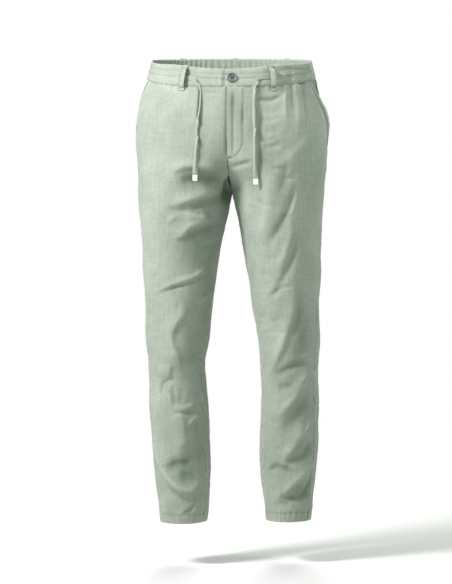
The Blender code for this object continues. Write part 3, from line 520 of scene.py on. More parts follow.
def tubeObject(name, rings, material, marks=None):
    # closed rings joined in a row, with a fan at each end
    count, around = rings.shape[:2]
    number = np.arange(count * around).reshape(count, around)
    after = np.roll(number, -1, axis=1)
    faces = np.stack([number[:-1], after[:-1], after[1:], number[1:]], -1).reshape(-1, 4).tolist()
    middle = np.stack([rings[0].mean(0), rings[-1].mean(0)])
    points = np.vstack([rings.reshape(-1, 3), middle])
    first, last = count * around, count * around + 1
    faces += [[first, int(after[0, k]), int(number[0, k])] for k in range(around)]
    faces += [[last, int(number[-1, k]), int(after[-1, k])] for k in range(around)]
    girth = np.linalg.norm(rings - np.roll(rings, 1, axis=1), axis=2).cumsum(1)
    length = lengthAlong(rings.mean(1))
    uv = np.stack([girth, np.broadcast_to(length[:, None], girth.shape)], -1).reshape(-1, 2)
    uv = np.vstack([uv, uv[:1], uv[-1:]])
    if marks:
        marks = {k: np.concatenate([np.ravel(v), [0.0, 0.0]]) for k, v in marks.items()}
    obj = meshObject(name, points, faces, material, uv, marks)
    facesOut(obj)
    return obj


def facesOut(obj):
    mesh = bmesh.new()
    mesh.from_mesh(obj.data)
    bmesh.ops.recalc_face_normals(mesh, faces=mesh.faces)
    if mesh.calc_volume(signed=True) < 0:
        bmesh.ops.reverse_faces(mesh, faces=mesh.faces)
    mesh.to_mesh(obj.data)
    mesh.free()


def linear(code, tint=1.0):
    # an sRGB hex colour as linear light, made a little paler or deeper by the tint
    parts = [int(code[k:k + 2], 16) / 255 for k in (1, 3, 5)]
    parts = [p / 12.92 if p <= 0.04045 else ((p + 0.055) / 1.055) ** 2.4 for p in parts]
    return tuple(p * tint for p in parts) + (1.0,)


def addNode(tree, kind, settings=None, links=None):
    # settings are the node's own properties and the values of its sockets; links feed its sockets
    node = tree.nodes.new(kind)
    for key, value in (settings or {}).items():
        if isinstance(key, str) and hasattr(node, key):
            setattr(node, key, value)
        else:
            node.inputs[key].default_value = value
    for key, socket in (links or {}).items():
        tree.links.new(socket, node.inputs[key])
    return node


def newMaterial(name, roughness, ior=1.5):
    made = bpy.data.materials.new(name)
    made.use_nodes = True
    shader = made.node_tree.nodes["Principled BSDF"]
    shader.inputs["Roughness"].default_value = roughness
    shader.inputs["IOR"].default_value = ior
    shader.inputs["Metallic"].default_value = 0.0
    return made, made.node_tree


def dress(made, colour, height=None, strength=0.0, distance=0.0):
    # a material's colour and, where it has one, its relief
    tree = made.node_tree
    shader = tree.nodes["Principled BSDF"]
    tree.links.new(colour, shader.inputs["Base Color"])
    if height is not None:
        setting = {"Strength": strength, "Distance": distance}
        bump = addNode(tree, "ShaderNodeBump", setting, {"Height": height})
        tree.links.new(bump.outputs[0], shader.inputs["Normal"])
    return made


linenLook = {
    "body": "#879484",
    "slub": "#9ca899",  # thick places in the yarn take less dye
    "deep": "#566b54",  # painted shade in the folds, seams and stitch grooves, and the darker wash clouds
    "worn": "#b2bbad",  # rubbed edges, and the painted highlight on crease ridges and pale patches
    "yarns": [  # width, length and share; real yarns lie 0.5 mm apart, these are coarser so that they show
        ("warp", 2.9 * mm, 21 * mm, 1.00), ("weft", 3.3 * mm, 15 * mm, 0.42),
        ("warp", 5.6 * mm, 64 * mm, 0.34), ("weft", 7.0 * mm, 38 * mm, 0.22),
    ],
    "crumple": (5.5 * mm, 0.20),  # size of the finest creasing, and its share in the relief
    "washPatch": (70 * mm, 0.28),  # size and depth of the clouds that washing leaves
    "relief": 1.1 * mm,
    "ior": 1.53,
    "roughness": 0.9,
    "sheen": 0.12,
}


def washedLinen(name, tint=1.0):
    # plain-woven flax, dyed and garment-washed: matt, streaked by its slubs, with paler rubbed edges; painted
    # shade darkens its creases, seams and stitch grooves, and a painted highlight its crease ridges
    look = linenLook
    made, tree = newMaterial(name, look["roughness"], look["ior"])
    shader = tree.nodes["Principled BSDF"]
    shader.inputs["Sheen Weight"].default_value = look["sheen"]
    shader.inputs["Sheen Roughness"].default_value = 0.5
    shader.inputs["Specular IOR Level"].default_value = 0.25
    body, slub, deep, worn = [linear(look[key], tint) for key in ("body", "slub", "deep", "worn")]
    where = addNode(tree, "ShaderNodeTexCoord").outputs
    slubs = None  # noise drawn out along each thread
    for way, wide, tall, share in look["yarns"]:
        stretch = (1 / wide, 1 / tall, 1) if way == "warp" else (1 / tall, 1 / wide, 1)
        placed = addNode(tree, "ShaderNodeMapping", {"Scale": stretch}, {"Vector": where["UV"]}).outputs[0]
        thread = addNode(
            tree, "ShaderNodeTexNoise", {"Scale": 1.0, "Detail": 3.0, "Roughness": 0.55, "Distortion": 0.35},
            {"Vector": placed},
        ).outputs[0]
        slubs = thread if slubs is None else addNode(
            tree, "ShaderNodeMix", {"data_type": "FLOAT", 0: share}, {2: slubs, 3: thread}
        ).outputs[0]
    size, share = look["crumple"]
    crumple = addNode(
        tree, "ShaderNodeTexNoise", {"Scale": 1 / size, "Detail": 3.0}, {"Vector": where["UV"]}
    ).outputs[0]
    slubs = addNode(
        tree, "ShaderNodeMix", {"data_type": "FLOAT", 0: share}, {2: slubs, 3: crumple}
    ).outputs[0]
    spread = addNode(
        tree, "ShaderNodeMapRange", {"From Min": 0.37, "From Max": 0.63}, {"Value": slubs}
    ).outputs[0]
    cloth = addNode(tree, "ShaderNodeMix", {"data_type": "RGBA", 6: body, 7: slub}, {0: spread}).outputs[2]
    size, depth = look["washPatch"]
    wash = addNode(
        tree, "ShaderNodeTexNoise", {"Scale": 1 / size, "Detail": 3.0}, {"Vector": where["Object"]}
    ).outputs[0]
    washShare = addNode(
        tree, "ShaderNodeMapRange", {"From Min": 0.3, "From Max": 0.75, "To Max": depth}, {"Value": wash}
    ).outputs[0]
    # the fold attribute is painted shade in creases, seams and stitch grooves; the wear attribute is rubbed
    # wear together with painted highlights
    paintedShadeShare = addNode(tree, "ShaderNodeAttribute", {"attribute_name": "fold"}).outputs["Fac"]
    wearAndHighlightShare = addNode(tree, "ShaderNodeAttribute", {"attribute_name": "wear"}).outputs["Fac"]
    # painted shade and the wash clouds turn the cloth to the deep colour, rubbed wear and painted highlight
    # to the pale one
    shadeAndWashShare = addNode(
        tree, "ShaderNodeMath", {"operation": "ADD", "use_clamp": True}, {0: washShare, 1: paintedShadeShare}
    ).outputs[0]
    for share, tone in ((shadeAndWashShare, deep), (wearAndHighlightShare, worn)):
        cloth = addNode(
            tree, "ShaderNodeMix", {"data_type": "RGBA", 7: tone}, {0: share, 6: cloth}
        ).outputs[2]
    return dress(made, cloth, slubs, 0.8, look["relief"])


def wovenTape(name):
    # cotton tape, tightly woven in fine ribs: paler and a little smoother than the linen
    made, tree = newMaterial(name, 0.85, 1.53)
    uv = addNode(tree, "ShaderNodeTexCoord").outputs["UV"]
    ribPitch = 1.1 * mm  # real ones lie 0.6 mm apart, these are coarser so that they show
    ribs = addNode(
        tree, "ShaderNodeTexWave",
        {"bands_direction": "DIAGONAL", "Scale": math.pi / 10 / ribPitch, "Distortion": 0.5}, {"Vector": uv},
    ).outputs["Fac"]
    patch = addNode(tree, "ShaderNodeTexNoise", {"Scale": 160.0, "Detail": 2.0}, {"Vector": uv}).outputs[0]
    mixed = addNode(tree, "ShaderNodeMath", {"operation": "MULTIPLY"}, {0: ribs, 1: patch}).outputs[0]
    cloth = addNode(
        tree, "ShaderNodeMix", {"data_type": "RGBA", 6: linear("#84927e"), 7: linear("#a7b5a3")}, {0: mixed}
    ).outputs[2]
    # painted shade down the tape's fold and in the notch where it turns down
    paintedShadeShare = addNode(tree, "ShaderNodeAttribute", {"attribute_name": "fold"}).outputs["Fac"]
    cloth = addNode(
        tree, "ShaderNodeMix", {"data_type": "RGBA", 7: linear("#40523f")}, {0: paintedShadeShare, 6: cloth}
    ).outputs[2]
    return dress(made, cloth, ribs, 0.5, 0.2 * mm)


def mouldedNylon(name):
    # white nylon, moulded over the tape's end: smooth with a faint grain
    made, tree = newMaterial(name, 0.42, 1.53)
    where = addNode(tree, "ShaderNodeTexCoord").outputs["Object"]
    grain = addNode(tree, "ShaderNodeTexNoise", {"Scale": 900.0, "Detail": 2.0}, {"Vector": where}).outputs[0]
    cloth = addNode(
        tree, "ShaderNodeMix", {"data_type": "RGBA", 6: linear("#e9ebe7"), 7: linear("#f7f8f5")}, {0: grain}
    ).outputs[2]
    return dress(made, cloth, grain, 0.2, 0.05 * mm)


def hornResin(name):
    # polyester resin cast to look like horn, then tumbled: satin, clouded in grey-green
    made, tree = newMaterial(name, 0.36, 1.54)
    where = addNode(tree, "ShaderNodeTexCoord").outputs["Object"]
    cloud = addNode(
        tree, "ShaderNodeTexNoise", {"Scale": 130.0, "Detail": 4.0, "Distortion": 1.2}, {"Vector": where}
    ).outputs[0]
    share = addNode(
        tree, "ShaderNodeMapRange", {"From Min": 0.35, "From Max": 0.68}, {"Value": cloud}
    ).outputs[0]
    tone = addNode(
        tree, "ShaderNodeMix", {"data_type": "RGBA", 6: linear("#38463f"), 7: linear("#636f69")}, {0: share}
    ).outputs[2]
    scratch = addNode(tree, "ShaderNodeTexNoise", {"Scale": 2500.0}, {"Vector": where}).outputs[0]
    return dress(made, tone, scratch, 0.15, 0.03 * mm)


def spunThread(name, low, high):
    # core-spun sewing thread: two plies, faintly hairy and matt
    made, tree = newMaterial(name, 0.8, 1.55)
    uv = addNode(tree, "ShaderNodeTexCoord").outputs["UV"]
    plyPitch = 0.5 * mm
    twist = addNode(
        tree, "ShaderNodeTexWave", {"bands_direction": "DIAGONAL", "Scale": math.pi / 10 / plyPitch},
        {"Vector": uv},
    ).outputs["Fac"]
    tone = addNode(
        tree, "ShaderNodeMix", {"data_type": "RGBA", 6: linear(low), 7: linear(high)}, {0: twist}
    ).outputs[2]
    return dress(made, tone, twist, 0.4, 0.08 * mm)


def mattPaper(name):
    # a studio sweep of matt paper, nearly white
    made, tree = newMaterial(name, 0.95)
    where = addNode(tree, "ShaderNodeTexCoord").outputs["Object"]
    fibre = addNode(tree, "ShaderNodeTexNoise", {"Scale": 3.0, "Detail": 3.0}, {"Vector": where}).outputs[0]
    tone = addNode(
        tree, "ShaderNodeMix", {"data_type": "RGBA", 6: linear("#d3d8d3"), 7: linear("#d7dbd6")}, {0: fibre}
    ).outputs[2]
    return dress(made, tone)


bodyLinen = washedLinen("washedLinenBody")
bandLinen = washedLinen("washedLinenBand", 1.02)
pocketLinen = washedLinen("washedLinenInside", 0.96)
cottonTape = wovenTape("cottonTape")
tipNylon = mouldedNylon("mouldedNylon")
buttonResin = hornResin("hornResin")
seamThread = spunThread("spunThreadSage", "#7d8b78", "#98a492")
buttonThread = spunThread("spunThreadDark", "#39453f", "#56635b")
print("materials ready")

studioCamera = {
    "place": (-0.0126, -4.2, -0.462),
    "turn": (math.radians(90), 0, 0),
    "lens": 123.29,
    "sensor": 36.0,
}
cameraData = bpy.data.cameras.new("studioCamera")
cameraData.lens = studioCamera["lens"]
cameraData.sensor_width = studioCamera["sensor"]
cameraObject = bpy.data.objects.new("studioCamera", cameraData)
cameraObject.location = studioCamera["place"]
cameraObject.rotation_euler = studioCamera["turn"]
bpy.context.scene.collection.objects.link(cameraObject)
bpy.context.scene.camera = cameraObject

drawcord = {
    "width": 0.0104,
    "thick": 0.0011,
    "standOff": 0.0022,  # how much freer of the front it hangs below its turn
    "routes": {  # the middle of the flat tape, from under the belt loop down to its tip
        right: [
            (-0.0983, -0.1078, -0.0250), (-0.0922, -0.1100, -0.0250), (-0.0860, -0.1122, -0.0250),
            (-0.0793, -0.1145, -0.0261), (-0.0738, -0.1170, -0.0326), (-0.0697, -0.1193, -0.0418),
            (-0.0677, -0.1213, -0.0540), (-0.0677, -0.1231, -0.0703), (-0.0685, -0.1243, -0.0866),
            (-0.0701, -0.1254, -0.1009), (-0.0716, -0.1264, -0.1193), (-0.0722, -0.1267, -0.1356),
            (-0.0728, -0.1267, -0.1519), (-0.0734, -0.1263, -0.1682), (-0.0744, -0.1256, -0.1846),
            (-0.0752, -0.1245, -0.2009), (-0.0756, -0.1228, -0.2131), (-0.0758, -0.1204, -0.2243),
        ],
        left: [
            (0.0788, -0.1077, -0.0224), (0.0710, -0.1105, -0.0224), (0.0639, -0.1128, -0.0222),
            (0.0574, -0.1148, -0.0232), (0.0513, -0.1171, -0.0291), (0.0472, -0.1193, -0.0377),
            (0.0447, -0.1209, -0.0499), (0.0441, -0.1229, -0.0662), (0.0445, -0.1243, -0.0826),
            (0.0451, -0.1253, -0.0989), (0.0453, -0.1262, -0.1152), (0.0449, -0.1268, -0.1315),
            (0.0447, -0.1270, -0.1458), (0.0459, -0.1267, -0.1621), (0.0462, -0.1254, -0.1784),
            (0.0462, -0.1225, -0.1948), (0.0468, -0.1184, -0.2111), (0.0478, -0.1126, -0.2315),
        ],
    },
    "length": {right: 0.222, left: 0.235},
    "turnAt": {right: 0.135, left: 0.125},  # share of the length where it turns down
    "roll": {  # share of the length, how far the tape is folded lengthwise and turned aside, in degrees
        right: [
            (0.0, 4, 0), (0.15, 6, 0), (0.21, 58, -24), (0.30, 56, -8), (0.42, 58, 8), (0.47, 50, 36),
            (0.50, 8, 64), (0.53, -52, 40), (0.58, -70, -8), (0.64, -62, 20), (0.67, -20, 62),
            (0.695, 6, 68), (0.72, -48, 34), (0.76, -62, -8), (0.86, -56, 6), (0.93, -30, 0), (1.0, 0, 0),
        ],
        left: [
            (0.0, 4, 0), (0.14, 6, 0), (0.19, 44, 30), (0.23, 8, 60), (0.27, -48, 30), (0.36, -58, 10),
            (0.48, -52, -4), (0.55, -60, 24), (0.585, -14, 64), (0.61, 6, 66), (0.64, -54, 26),
            (0.70, -66, 6), (0.76, -54, 0), (0.88, -48, 8), (0.95, -14, 0), (1.0, 0, 0),
        ],
    },
    "foldRound": 0.0007,  # the fold down the tape's middle is rounded, not sharp
    "foldLift": 0.0016,
    "creaseShade": (0.0016, 0.42),  # width and strength of the painted shade down the fold
    "turnShade": (0.018, 0.8),  # share of the length and strength of the painted shade where it turns down
    "tip": {
        "width": 0.0098,
        "thick": 0.0028,
        "steps": [  # distance from the tape's end and share of the size: a shallow groove grips the tape
            (-0.0008, 0.72), (-0.0004, 0.90), (0.0004, 0.98), (0.0016, 1.0), (0.0022, 0.94), (0.0028, 0.94),
            (0.0034, 1.0), (0.0095, 1.0), (0.0104, 0.95), (0.0109, 0.80), (0.0111, 0.45),
        ],
        "roundness": (0.35, 0.45),  # across and through: 1 is an ellipse, 0 a block
    },
}


def makeDrawcord(side):
    route = smoothLine(drawcord["routes"][side], 110)
    route[:, 1] -= drawcord["standOff"] * ease((-0.030 - route[:, 2]) / 0.05)
    share = np.linspace(0, 1, len(route))
    roll = np.array(drawcord["roll"][side], float)
    folds = np.radians(np.interp(share, roll[:, 0], roll[:, 1]))
    turns = np.radians(np.interp(share, roll[:, 0], roll[:, 2]))
    along = unit(np.gradient(route, axis=0))
    outward = unit(np.array([0.0, -1.0, 0.0]) - along * (along @ [0.0, -1.0, 0.0])[:, None])
    across = np.cross(outward, along)
    reach = np.linspace(-1, 1, 13) * drawcord["width"] / 2
    soft = np.sqrt(reach**2 + drawcord["foldRound"] ** 2) - drawcord["foldRound"]
    rings, shaded = [], []
    for k in range(len(route)):
        section = tapeSection(reach, soft, math.sin(folds[k]), turns[k])
        rings.append(route[k] + section[:, :1] * across[k] + section[:, 1:] * outward[k])
        # painted shade down the tape's fold and where it turns down
        width, dark = drawcord["creaseShade"]
        crease = dark * math.sin(folds[k]) * bell(reach, width)
        width, dark = drawcord["turnShade"]
        notch = dark * bell(share[k] - drawcord["turnAt"][side], width) * ease(reach / 0.002)
        shaded.append(np.clip(np.concatenate([crease + notch, (crease + notch)[::-1]]), 0, 1))
    marks = {"fold": np.array(shaded)}
    cord = tubeObject(f"drawcordTape{sideName[side]}", np.array(rings), cottonTape, marks)
    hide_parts(f"drawcord_{nodeSide[side]}")
    tip = makeTip(side, route[-1], along[-1], across[-1])


def tapeSection(reach, soft, fold, turn):
    # the outline across the tape: folded lengthwise, thinner at its edges, then turned aside
    flat = np.sign(reach) * np.sqrt(np.maximum(reach**2 - (soft * fold) ** 2, 0))
    middle = np.stack([flat, soft * fold - drawcord["foldLift"] * fold], -1)
    way = unit(np.gradient(middle, axis=0))
    off = np.stack([-way[:, 1], way[:, 0]], -1) * drawcord["thick"] / 2
    taper = np.clip((1 - (reach / (drawcord["width"] / 2)) ** 8), 0.35, 1)[:, None]
    section = np.vstack([middle + off * taper, (middle - off * taper)[::-1]])
    c, s = math.cos(turn), math.sin(turn)
    return section @ np.array([[c, s], [-s, c]])


def makeTip(side, end, along, across):
    # a moulded end: a rounded block
    size = drawcord["tip"]
    outward = np.cross(along, across)
    turn = np.linspace(0, 2 * math.pi, 24, endpoint=False)
    wide = blunt(np.cos(turn), size["roundness"][0]) * size["width"] / 2
    deep = blunt(np.sin(turn), size["roundness"][1]) * size["thick"] / 2
    rings = []
    for distance, share in size["steps"]:
        section = (wide * (0.5 + 0.5 * share))[:, None] * across + (deep * share)[:, None] * outward
        rings.append(end + along * distance + section)
    tip = tubeObject(f"drawcordTip{sideName[side]}", np.array(rings), tipNylon)
    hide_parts(f"cord_tip_{nodeSide[side]}")
    return tip


for cordSide in (right, left):
    makeDrawcord(cordSide)
print("drawcords ready")

panel = {
    "rowStep": 0.0031,
    "columns": 92,
    "thick": 0.0010,
    "allowance": 0.009,  # turned in along every seam
    "turnIn": 0.0021,  # how deep the turned-in layer's face lies
    "grainLine": 0.110,  # how far out the straight grain lies, the same all the way down
    "seamPull": 0.0010,  # a seam draws the cloth in
    "seamReach": 0.0026,
    "pucker": 0.00045,  # how far a seam ripples along its length
    "puckerReach": 0.010,
    "hemStitch": 0.0182,  # above the hem's edge
    "hemBite": 0.0008,
    "hemRope": 0.0007,
    "biteWidth": 0.0013,  # of the line that a row of stitches presses into the cloth
    "mouthStitches": (0.0085, 0.0125),  # two rows of stitches along each pocket mouth, in from its edge
    "mouthBite": 0.0007,
    "mouthAngle": math.radians(16.3),
    "mouthPower": 2.4,
    "pocketEnd": -0.165,
    "gape": 0.0115,  # the wearer's left pocket stands open
    "gapeTop": -0.035,
    "gapeEnd": -0.163,
    "gapeSpread": math.radians(30),
    "openFade": 0.010,  # over which a mouth's marks begin above its lower end
    "flyEnd": -0.186,
    "flyFade": 0.012,
    "flyUnder": 0.008,
    "flyStep": 0.0026,
    "gatherPitch": 0.0085,
    "gather": 0.0011,
    "topPucker": 0.0009,
    "troughShade": (0.008, 0.52),  # painted shade in crease troughs: depth at which a trough is darkest, and how dark
    "ridgeHighlight": (0.002, 0.007, 0.36),  # painted highlight on crease ridges: height at which it begins, its rise to the palest, and how pale
    "cut": {  # widest, longest and flat area of each, with its seam allowances and turned-up hem
        (right, front): (0.358, 1.015, 0.216),
        (left, front): (0.350, 1.015, 0.210),
        (right, back): (0.350, 1.065, 0.286),
        (left, back): (0.358, 1.065, 0.290),
    },
}
fly = {
    "width": 0.0332,
    "turnFrom": -0.150,  # where the J begins to turn
    "foot": -0.1870,
    "hook": 0.90,
    "proud": 0.0010,
    "bite": 0.0011,
    "biteWidth": 0.0015,
    "dent": 0.0022,  # a long hollow between the edge and the J
    "dentAt": (0.0128, 0.0028),  # distance from the edge, and width
    "edge": 0.0008,
}
waistTop = float(waistSeam(np.radians(15)))


def pocketMouth(side, z):
    share = np.clip((z - panel["pocketEnd"]) / (waistTop - panel["pocketEnd"]), 0, 1)
    return sideSeam(side, z) + panel["mouthAngle"] * share ** panel["mouthPower"]


def settle(start, rule, level, rounds=6):
    # an edge's angle at each grid level, whose own height follows the angle
    angle = np.full(len(level), float(start))
    for _ in range(rounds):
        angle = rule(heightOf(level, angle))
    return angle


def pucker(z, seam):
    # seams draw up a little in the wash; the same on both sides of a seam
    total = 0.0
    for k, length in enumerate((0.011, 0.018, 0.031)):
        total = total + np.sin(2 * math.pi * z / length + seam * (1.7 + k) + k) / 2
    return total


def edgeProfile():
    # distance in from a seam's edge and depth, from the turned-in layer round the edge to the outside
    deep, far = panel["turnIn"], panel["allowance"]
    turned = [(far, deep), (0.004, deep), (0.0014, deep), (0.0004, deep * 0.85), (0.0, deep * 0.5)]
    turned.append((0.0003, 0.0004))
    outside = [(0.0012, 0.0), (0.0028, 0.0), (0.0050, 0.0), (0.0080, 0.0)]
    return np.array(turned), np.array(outside)


def panelRows():
    # grid levels and depths, from the edge sewn into the waistband down to the hem and up inside its turn-up
    hem, waist, deep = figure["hem"], figure["waist"], panel["turnIn"]
    stitched = hem + panel["hemStitch"]
    main = np.arange(waist - 0.003, hem + 0.0025, -panel["rowStep"])
    close = stitched + np.array([-0.0022, -0.0010, 0.0, 0.0010, 0.0022])
    main = np.sort(np.concatenate([main[np.abs(main - stitched) > 0.0035], close]))[::-1]
    rows = [(waist + 0.0045, 0.0012), (waist + 0.0010, 0.0010), (waist - 0.0010, 0.0003)]
    rows += [(z, 0.0) for z in main]
    rows += [(hem + 0.0010, 0.0), (hem + 0.0002, 0.0004), (hem, deep * 0.5), (hem + 0.0002, deep * 0.85)]
    rows += [(hem + z, deep) for z in (0.0012, 0.005, 0.010, 0.015, 0.0185, 0.0197)]
    return np.array(rows).T


def panelColumns(width, under):
    # distance along every row from its first edge, and the depth of each column
    turned, outside = edgeProfile()
    inside = np.linspace(0, 1, panel["columns"])
    margin = 0.0105
    distance = np.concatenate([
        np.broadcast_to(turned[:, 0], (len(width), len(turned))),
        np.broadcast_to(outside[:, 0], (len(width), len(outside))),
        margin + (width - 2 * margin) * inside,
        width - outside[::-1, 0],
        width - turned[::-1, 0],
    ], 1)
    distance = distance + under * np.clip(1 - (width - distance) / 0.012, 0, 1)
    depth = np.concatenate([turned[:, 1], outside[:, 1], 0 * inside, outside[::-1, 1], turned[::-1, 1]])
    return distance, depth, len(turned)


def panelLift(side, face, level, angle, z, first, last, flyRow, innerSeam):
    # how the seams, the fly, the pocket mouth, the hem and the gathers raise the cloth or draw it in
    lift = -panel["seamPull"] * bell(first, panel["seamReach"])
    pull = panel["seamPull"] * bell(last, panel["seamReach"])
    lift = lift - pull * (1 - flyRow) * (0.4 if face == front else 1.0)
    lift = lift + panel["pucker"] * pucker(z, 1 if side == left else 2) * bell(first, panel["puckerReach"])
    lift = lift + panel["pucker"] * pucker(z, innerSeam) * bell(last, panel["puckerReach"]) * (1 - flyRow)
    lift = lift + hemLift(angle, level)
    if face == back:
        return lift + gatherLift(side, angle, level)
    between = sum(panel["mouthStitches"]) / 2
    lift = lift - panel["mouthBite"] * mouthShare(z) * bell(first - between, 0.0018)
    lift = lift + topPucker(side, angle, level)
    if side == right:
        return lift - flyRow * panel["flyStep"] * ease(1 - (last - 0.0010) / 0.005)
    return lift + flyLift(z, last)[0] + gapeLift(angle, z)


# the dark lines are painted shade in the seams and stitch grooves, and the fly line a painted shadow beside
# the fly's edge
seamMarks = {  # distance in from the edge, width and strength of each pale line of wear and dark line of painted shade
    "edgeWear": (0.0032, 0.0016, 0.42),
    "hemWear": (0.0, 0.0018, 0.50),
    "mouthWear": (0.0, 0.0040, 0.90),
    "mouthInnerWear": (0.0180, 0.0022, 0.30),
    "seamShade": (0.0, 0.0014, 0.50),
    "hemStitchShade": (panel["hemStitch"], panel["biteWidth"], 0.20),
    "mouthOuterShade": (panel["mouthStitches"][0], 0.0016, 0.55),
    "mouthInnerShade": (panel["mouthStitches"][1], 0.0016, 0.75),
    "flyEdgeShadow": (0.0005, 0.0024, 0.34),
}


def markLine(name, away):
    place, width, strength = seamMarks[name]
    return strength * bell(away - place, width)


def panelMarks(side, face, level, angle, z, first, last, flyRow, rise, tone):
    # "fold" is painted shade in seams, stitch grooves, troughs and patches; "wear" is rubbed edges and
    # painted highlights
    edge = np.minimum(first, np.abs(last))
    patch = 0.55 + 0.45 * np.sin(z * 310 + angle * 23) * np.sin(z * 97 + 1.3)
    aboveHem = level - figure["hem"]
    wear = patch * (markLine("edgeWear", edge) + markLine("hemWear", aboveHem))
    opening = mouthShare(z) * (face == front)
    shaded = markLine("seamShade", edge) * (1 - flyRow) * (1 - opening * (first < last))
    shaded = shaded + markLine("hemStitchShade", aboveHem)
    if face == front and side == left:
        shaded = shaded + flyLift(z, last)[1]
    if face == front and side == right:
        shaded = shaded + markLine("flyEdgeShadow", last) * flyRow
    shaded = shaded + opening * (markLine("mouthOuterShade", first) + markLine("mouthInnerShade", first))
    wear = wear + opening * (markLine("mouthWear", first) + markLine("mouthInnerWear", first))
    # painted shade in crease troughs and patches, painted highlight on crease ridges and pale patches
    deepest, dark = panel["troughShade"]
    shaded = shaded + dark * np.clip(-rise / deepest, 0, 1) + np.clip(tone, 0, 1)
    begins, climb, pale = panel["ridgeHighlight"]
    wear = wear + pale * np.clip((rise - begins) / climb, 0, 1) + np.clip(-tone, 0, 1)
    return {"fold": np.clip(shaded, 0, 1), "wear": np.clip(wear, 0, 1)}


def panelGrid(side, face):
    level, rowDepth = panelRows()
    reading = np.maximum(level, figure["hem"])
    if face == front:
        start = settle(0.0, lambda z: pocketMouth(side, z), reading)
    else:
        start = sideSeam(side, reading)
    end = settle(face * math.pi / 2, lambda z: innerEdge(side, z, face), reading)
    zSeam = heightOf(reading, end)

    # how much cloth lies along each row up to every angle
    angles = start[:, None] + (end - start)[:, None] * np.linspace(0, 1, 201)
    middle = (angles[:, 1:] + angles[:, :-1]) / 2
    steps = arcStep(side, middle, heightOf(reading[:, None], middle)) * np.abs(np.diff(angles, axis=1))
    walked = np.concatenate([np.zeros((len(level), 1)), steps.cumsum(1)], 1)
    width = walked[:, -1:]
    flyRow = ease((zSeam - panel["flyEnd"]) / panel["flyFade"])[:, None] * (face == front)
    under = flyRow * panel["flyUnder"] * (side == right)  # the right front runs on beneath the fly
    distance, columnDepth, hidden = panelColumns(width, under)
    turning = np.sign(end - start)
    angle = np.empty_like(distance)
    for k in range(len(level)):
        beyond = turning[k] * np.maximum(distance[k] - width[k], 0)
        angle[k] = np.interp(distance[k], walked[k], angles[k]) + beyond / arcStep(side, end[k], zSeam[k])
    z = heightOf(reading[:, None], angle)

    last = width - distance
    innerSeam = 5 if face == front else 6  # each seam's number, which sets its pucker
    innerSeam = np.where(zSeam < figure["crotch"], innerSeam + 3 + side, innerSeam)[:, None]
    lift = panelLift(side, face, level[:, None], angle, z, distance, last, flyRow, innerSeam)
    points, normals, rise = clothAt(side, angle, z, lift - rowDepth[:, None] - columnDepth)
    tone = paintedShadeAndHighlight(side, face, points)
    marks = panelMarks(side, face, level[:, None], angle, z, distance, last, flyRow, rise, tone)

    # the weave runs straight down the leg, and on round the edges into the turned-in layers
    u = distance.copy()
    u[:, :hidden] = -distance[:, :hidden]
    u[:, -hidden:] = 2 * width - distance[:, -hidden:]
    grain = settle(1.0, lambda z: angleAt(side, face, side * panel["grainLine"], z), reading)
    for k in range(len(level)):
        u[k] -= np.interp(turning[k] * grain[k], turning[k] * angles[k], walked[k])
    return {
        "points": points,
        "normals": normals,
        "uv": np.stack([u, -z], -1),
        "marks": marks,
        "level": level,
        "distance": distance,
        "width": width[:, 0],
        "mainRows": np.flatnonzero(rowDepth == 0.0),
        "mainColumns": np.arange(hidden, len(columnDepth) - hidden),
    }


def mouthShare(z):
    # 1 where a pocket is open, 0 below its lower end
    return ease((z - panel["pocketEnd"]) / panel["openFade"])


def gapeLift(angle, z):
    share = np.clip((z - panel["gapeEnd"]) / (panel["gapeTop"] - panel["gapeEnd"]), 0, 1)
    swell = np.sin(math.pi * share**1.2).clip(0) ** 1.2
    near = np.clip(1 - (angle - pocketMouth(left, z)) / panel["gapeSpread"], 0, 1)
    return panel["gape"] * swell * near**5


def jReach(z):
    # how far from the fly's edge the J of stitches runs at this height
    bend = np.clip((fly["turnFrom"] - z) / (fly["turnFrom"] - fly["foot"]), 0, 1)
    return fly["width"] * (1 - (1 - np.sqrt(1 - bend**2)) * fly["hook"])


def flyLift(z, last):
    # the layers under the fly stand proud of the front as far as the J, whose stitches bite in; also the
    # painted shade in the J's groove, its foot and the dent
    inFly = ease((z - fly["foot"] + 0.002) / 0.004)
    reach = jReach(z)
    proud = fly["proud"] * ease((reach - last) / 0.004) * inFly
    groove = bell(last - reach, fly["biteWidth"]) * inFly * (0.35 + 0.65 * ease((-0.060 - z) / 0.05))
    foot = bell(z - fly["foot"], fly["biteWidth"]) * ease((fly["width"] * 0.5 - last) / 0.008)
    edge = fly["edge"] * bell(last, 0.0035) * inFly
    away, width = fly["dentAt"]
    dent = bell(last - away, width) * ease((-0.040 - z) / 0.03) * ease((z + 0.186) / 0.014)
    lift = proud + edge - fly["bite"] * (groove + foot) - fly["dent"] * dent
    return lift, np.clip(0.32 * groove + 0.45 * foot + 0.40 * dent, 0, 1)


def topPucker(side, angle, level):
    # the flat front draws up a little where it is sewn to the band
    ripple = np.sin(74 * angle + 1.7 * np.sin(11 * angle + side))
    ripple = ripple * (0.6 + 0.4 * np.sin(5 * angle + 2 * side))
    return panel["topPucker"] * ripple * np.exp(-((figure["waist"] - level) / 0.009))


def hemLift(angle, level):
    # the hem's stitch line bites in, and the turn-up ropes a little below it
    away = level - (figure["hem"] + panel["hemStitch"])
    rope = np.sin(31 * angle + 1.1 * np.sin(7 * angle)) * 0.6 + np.sin(53 * angle + 2.0) * 0.4
    groove = panel["hemBite"] * bell(away, panel["biteWidth"])
    return panel["hemRope"] * rope * bell(away + 0.004, 0.008) - groove


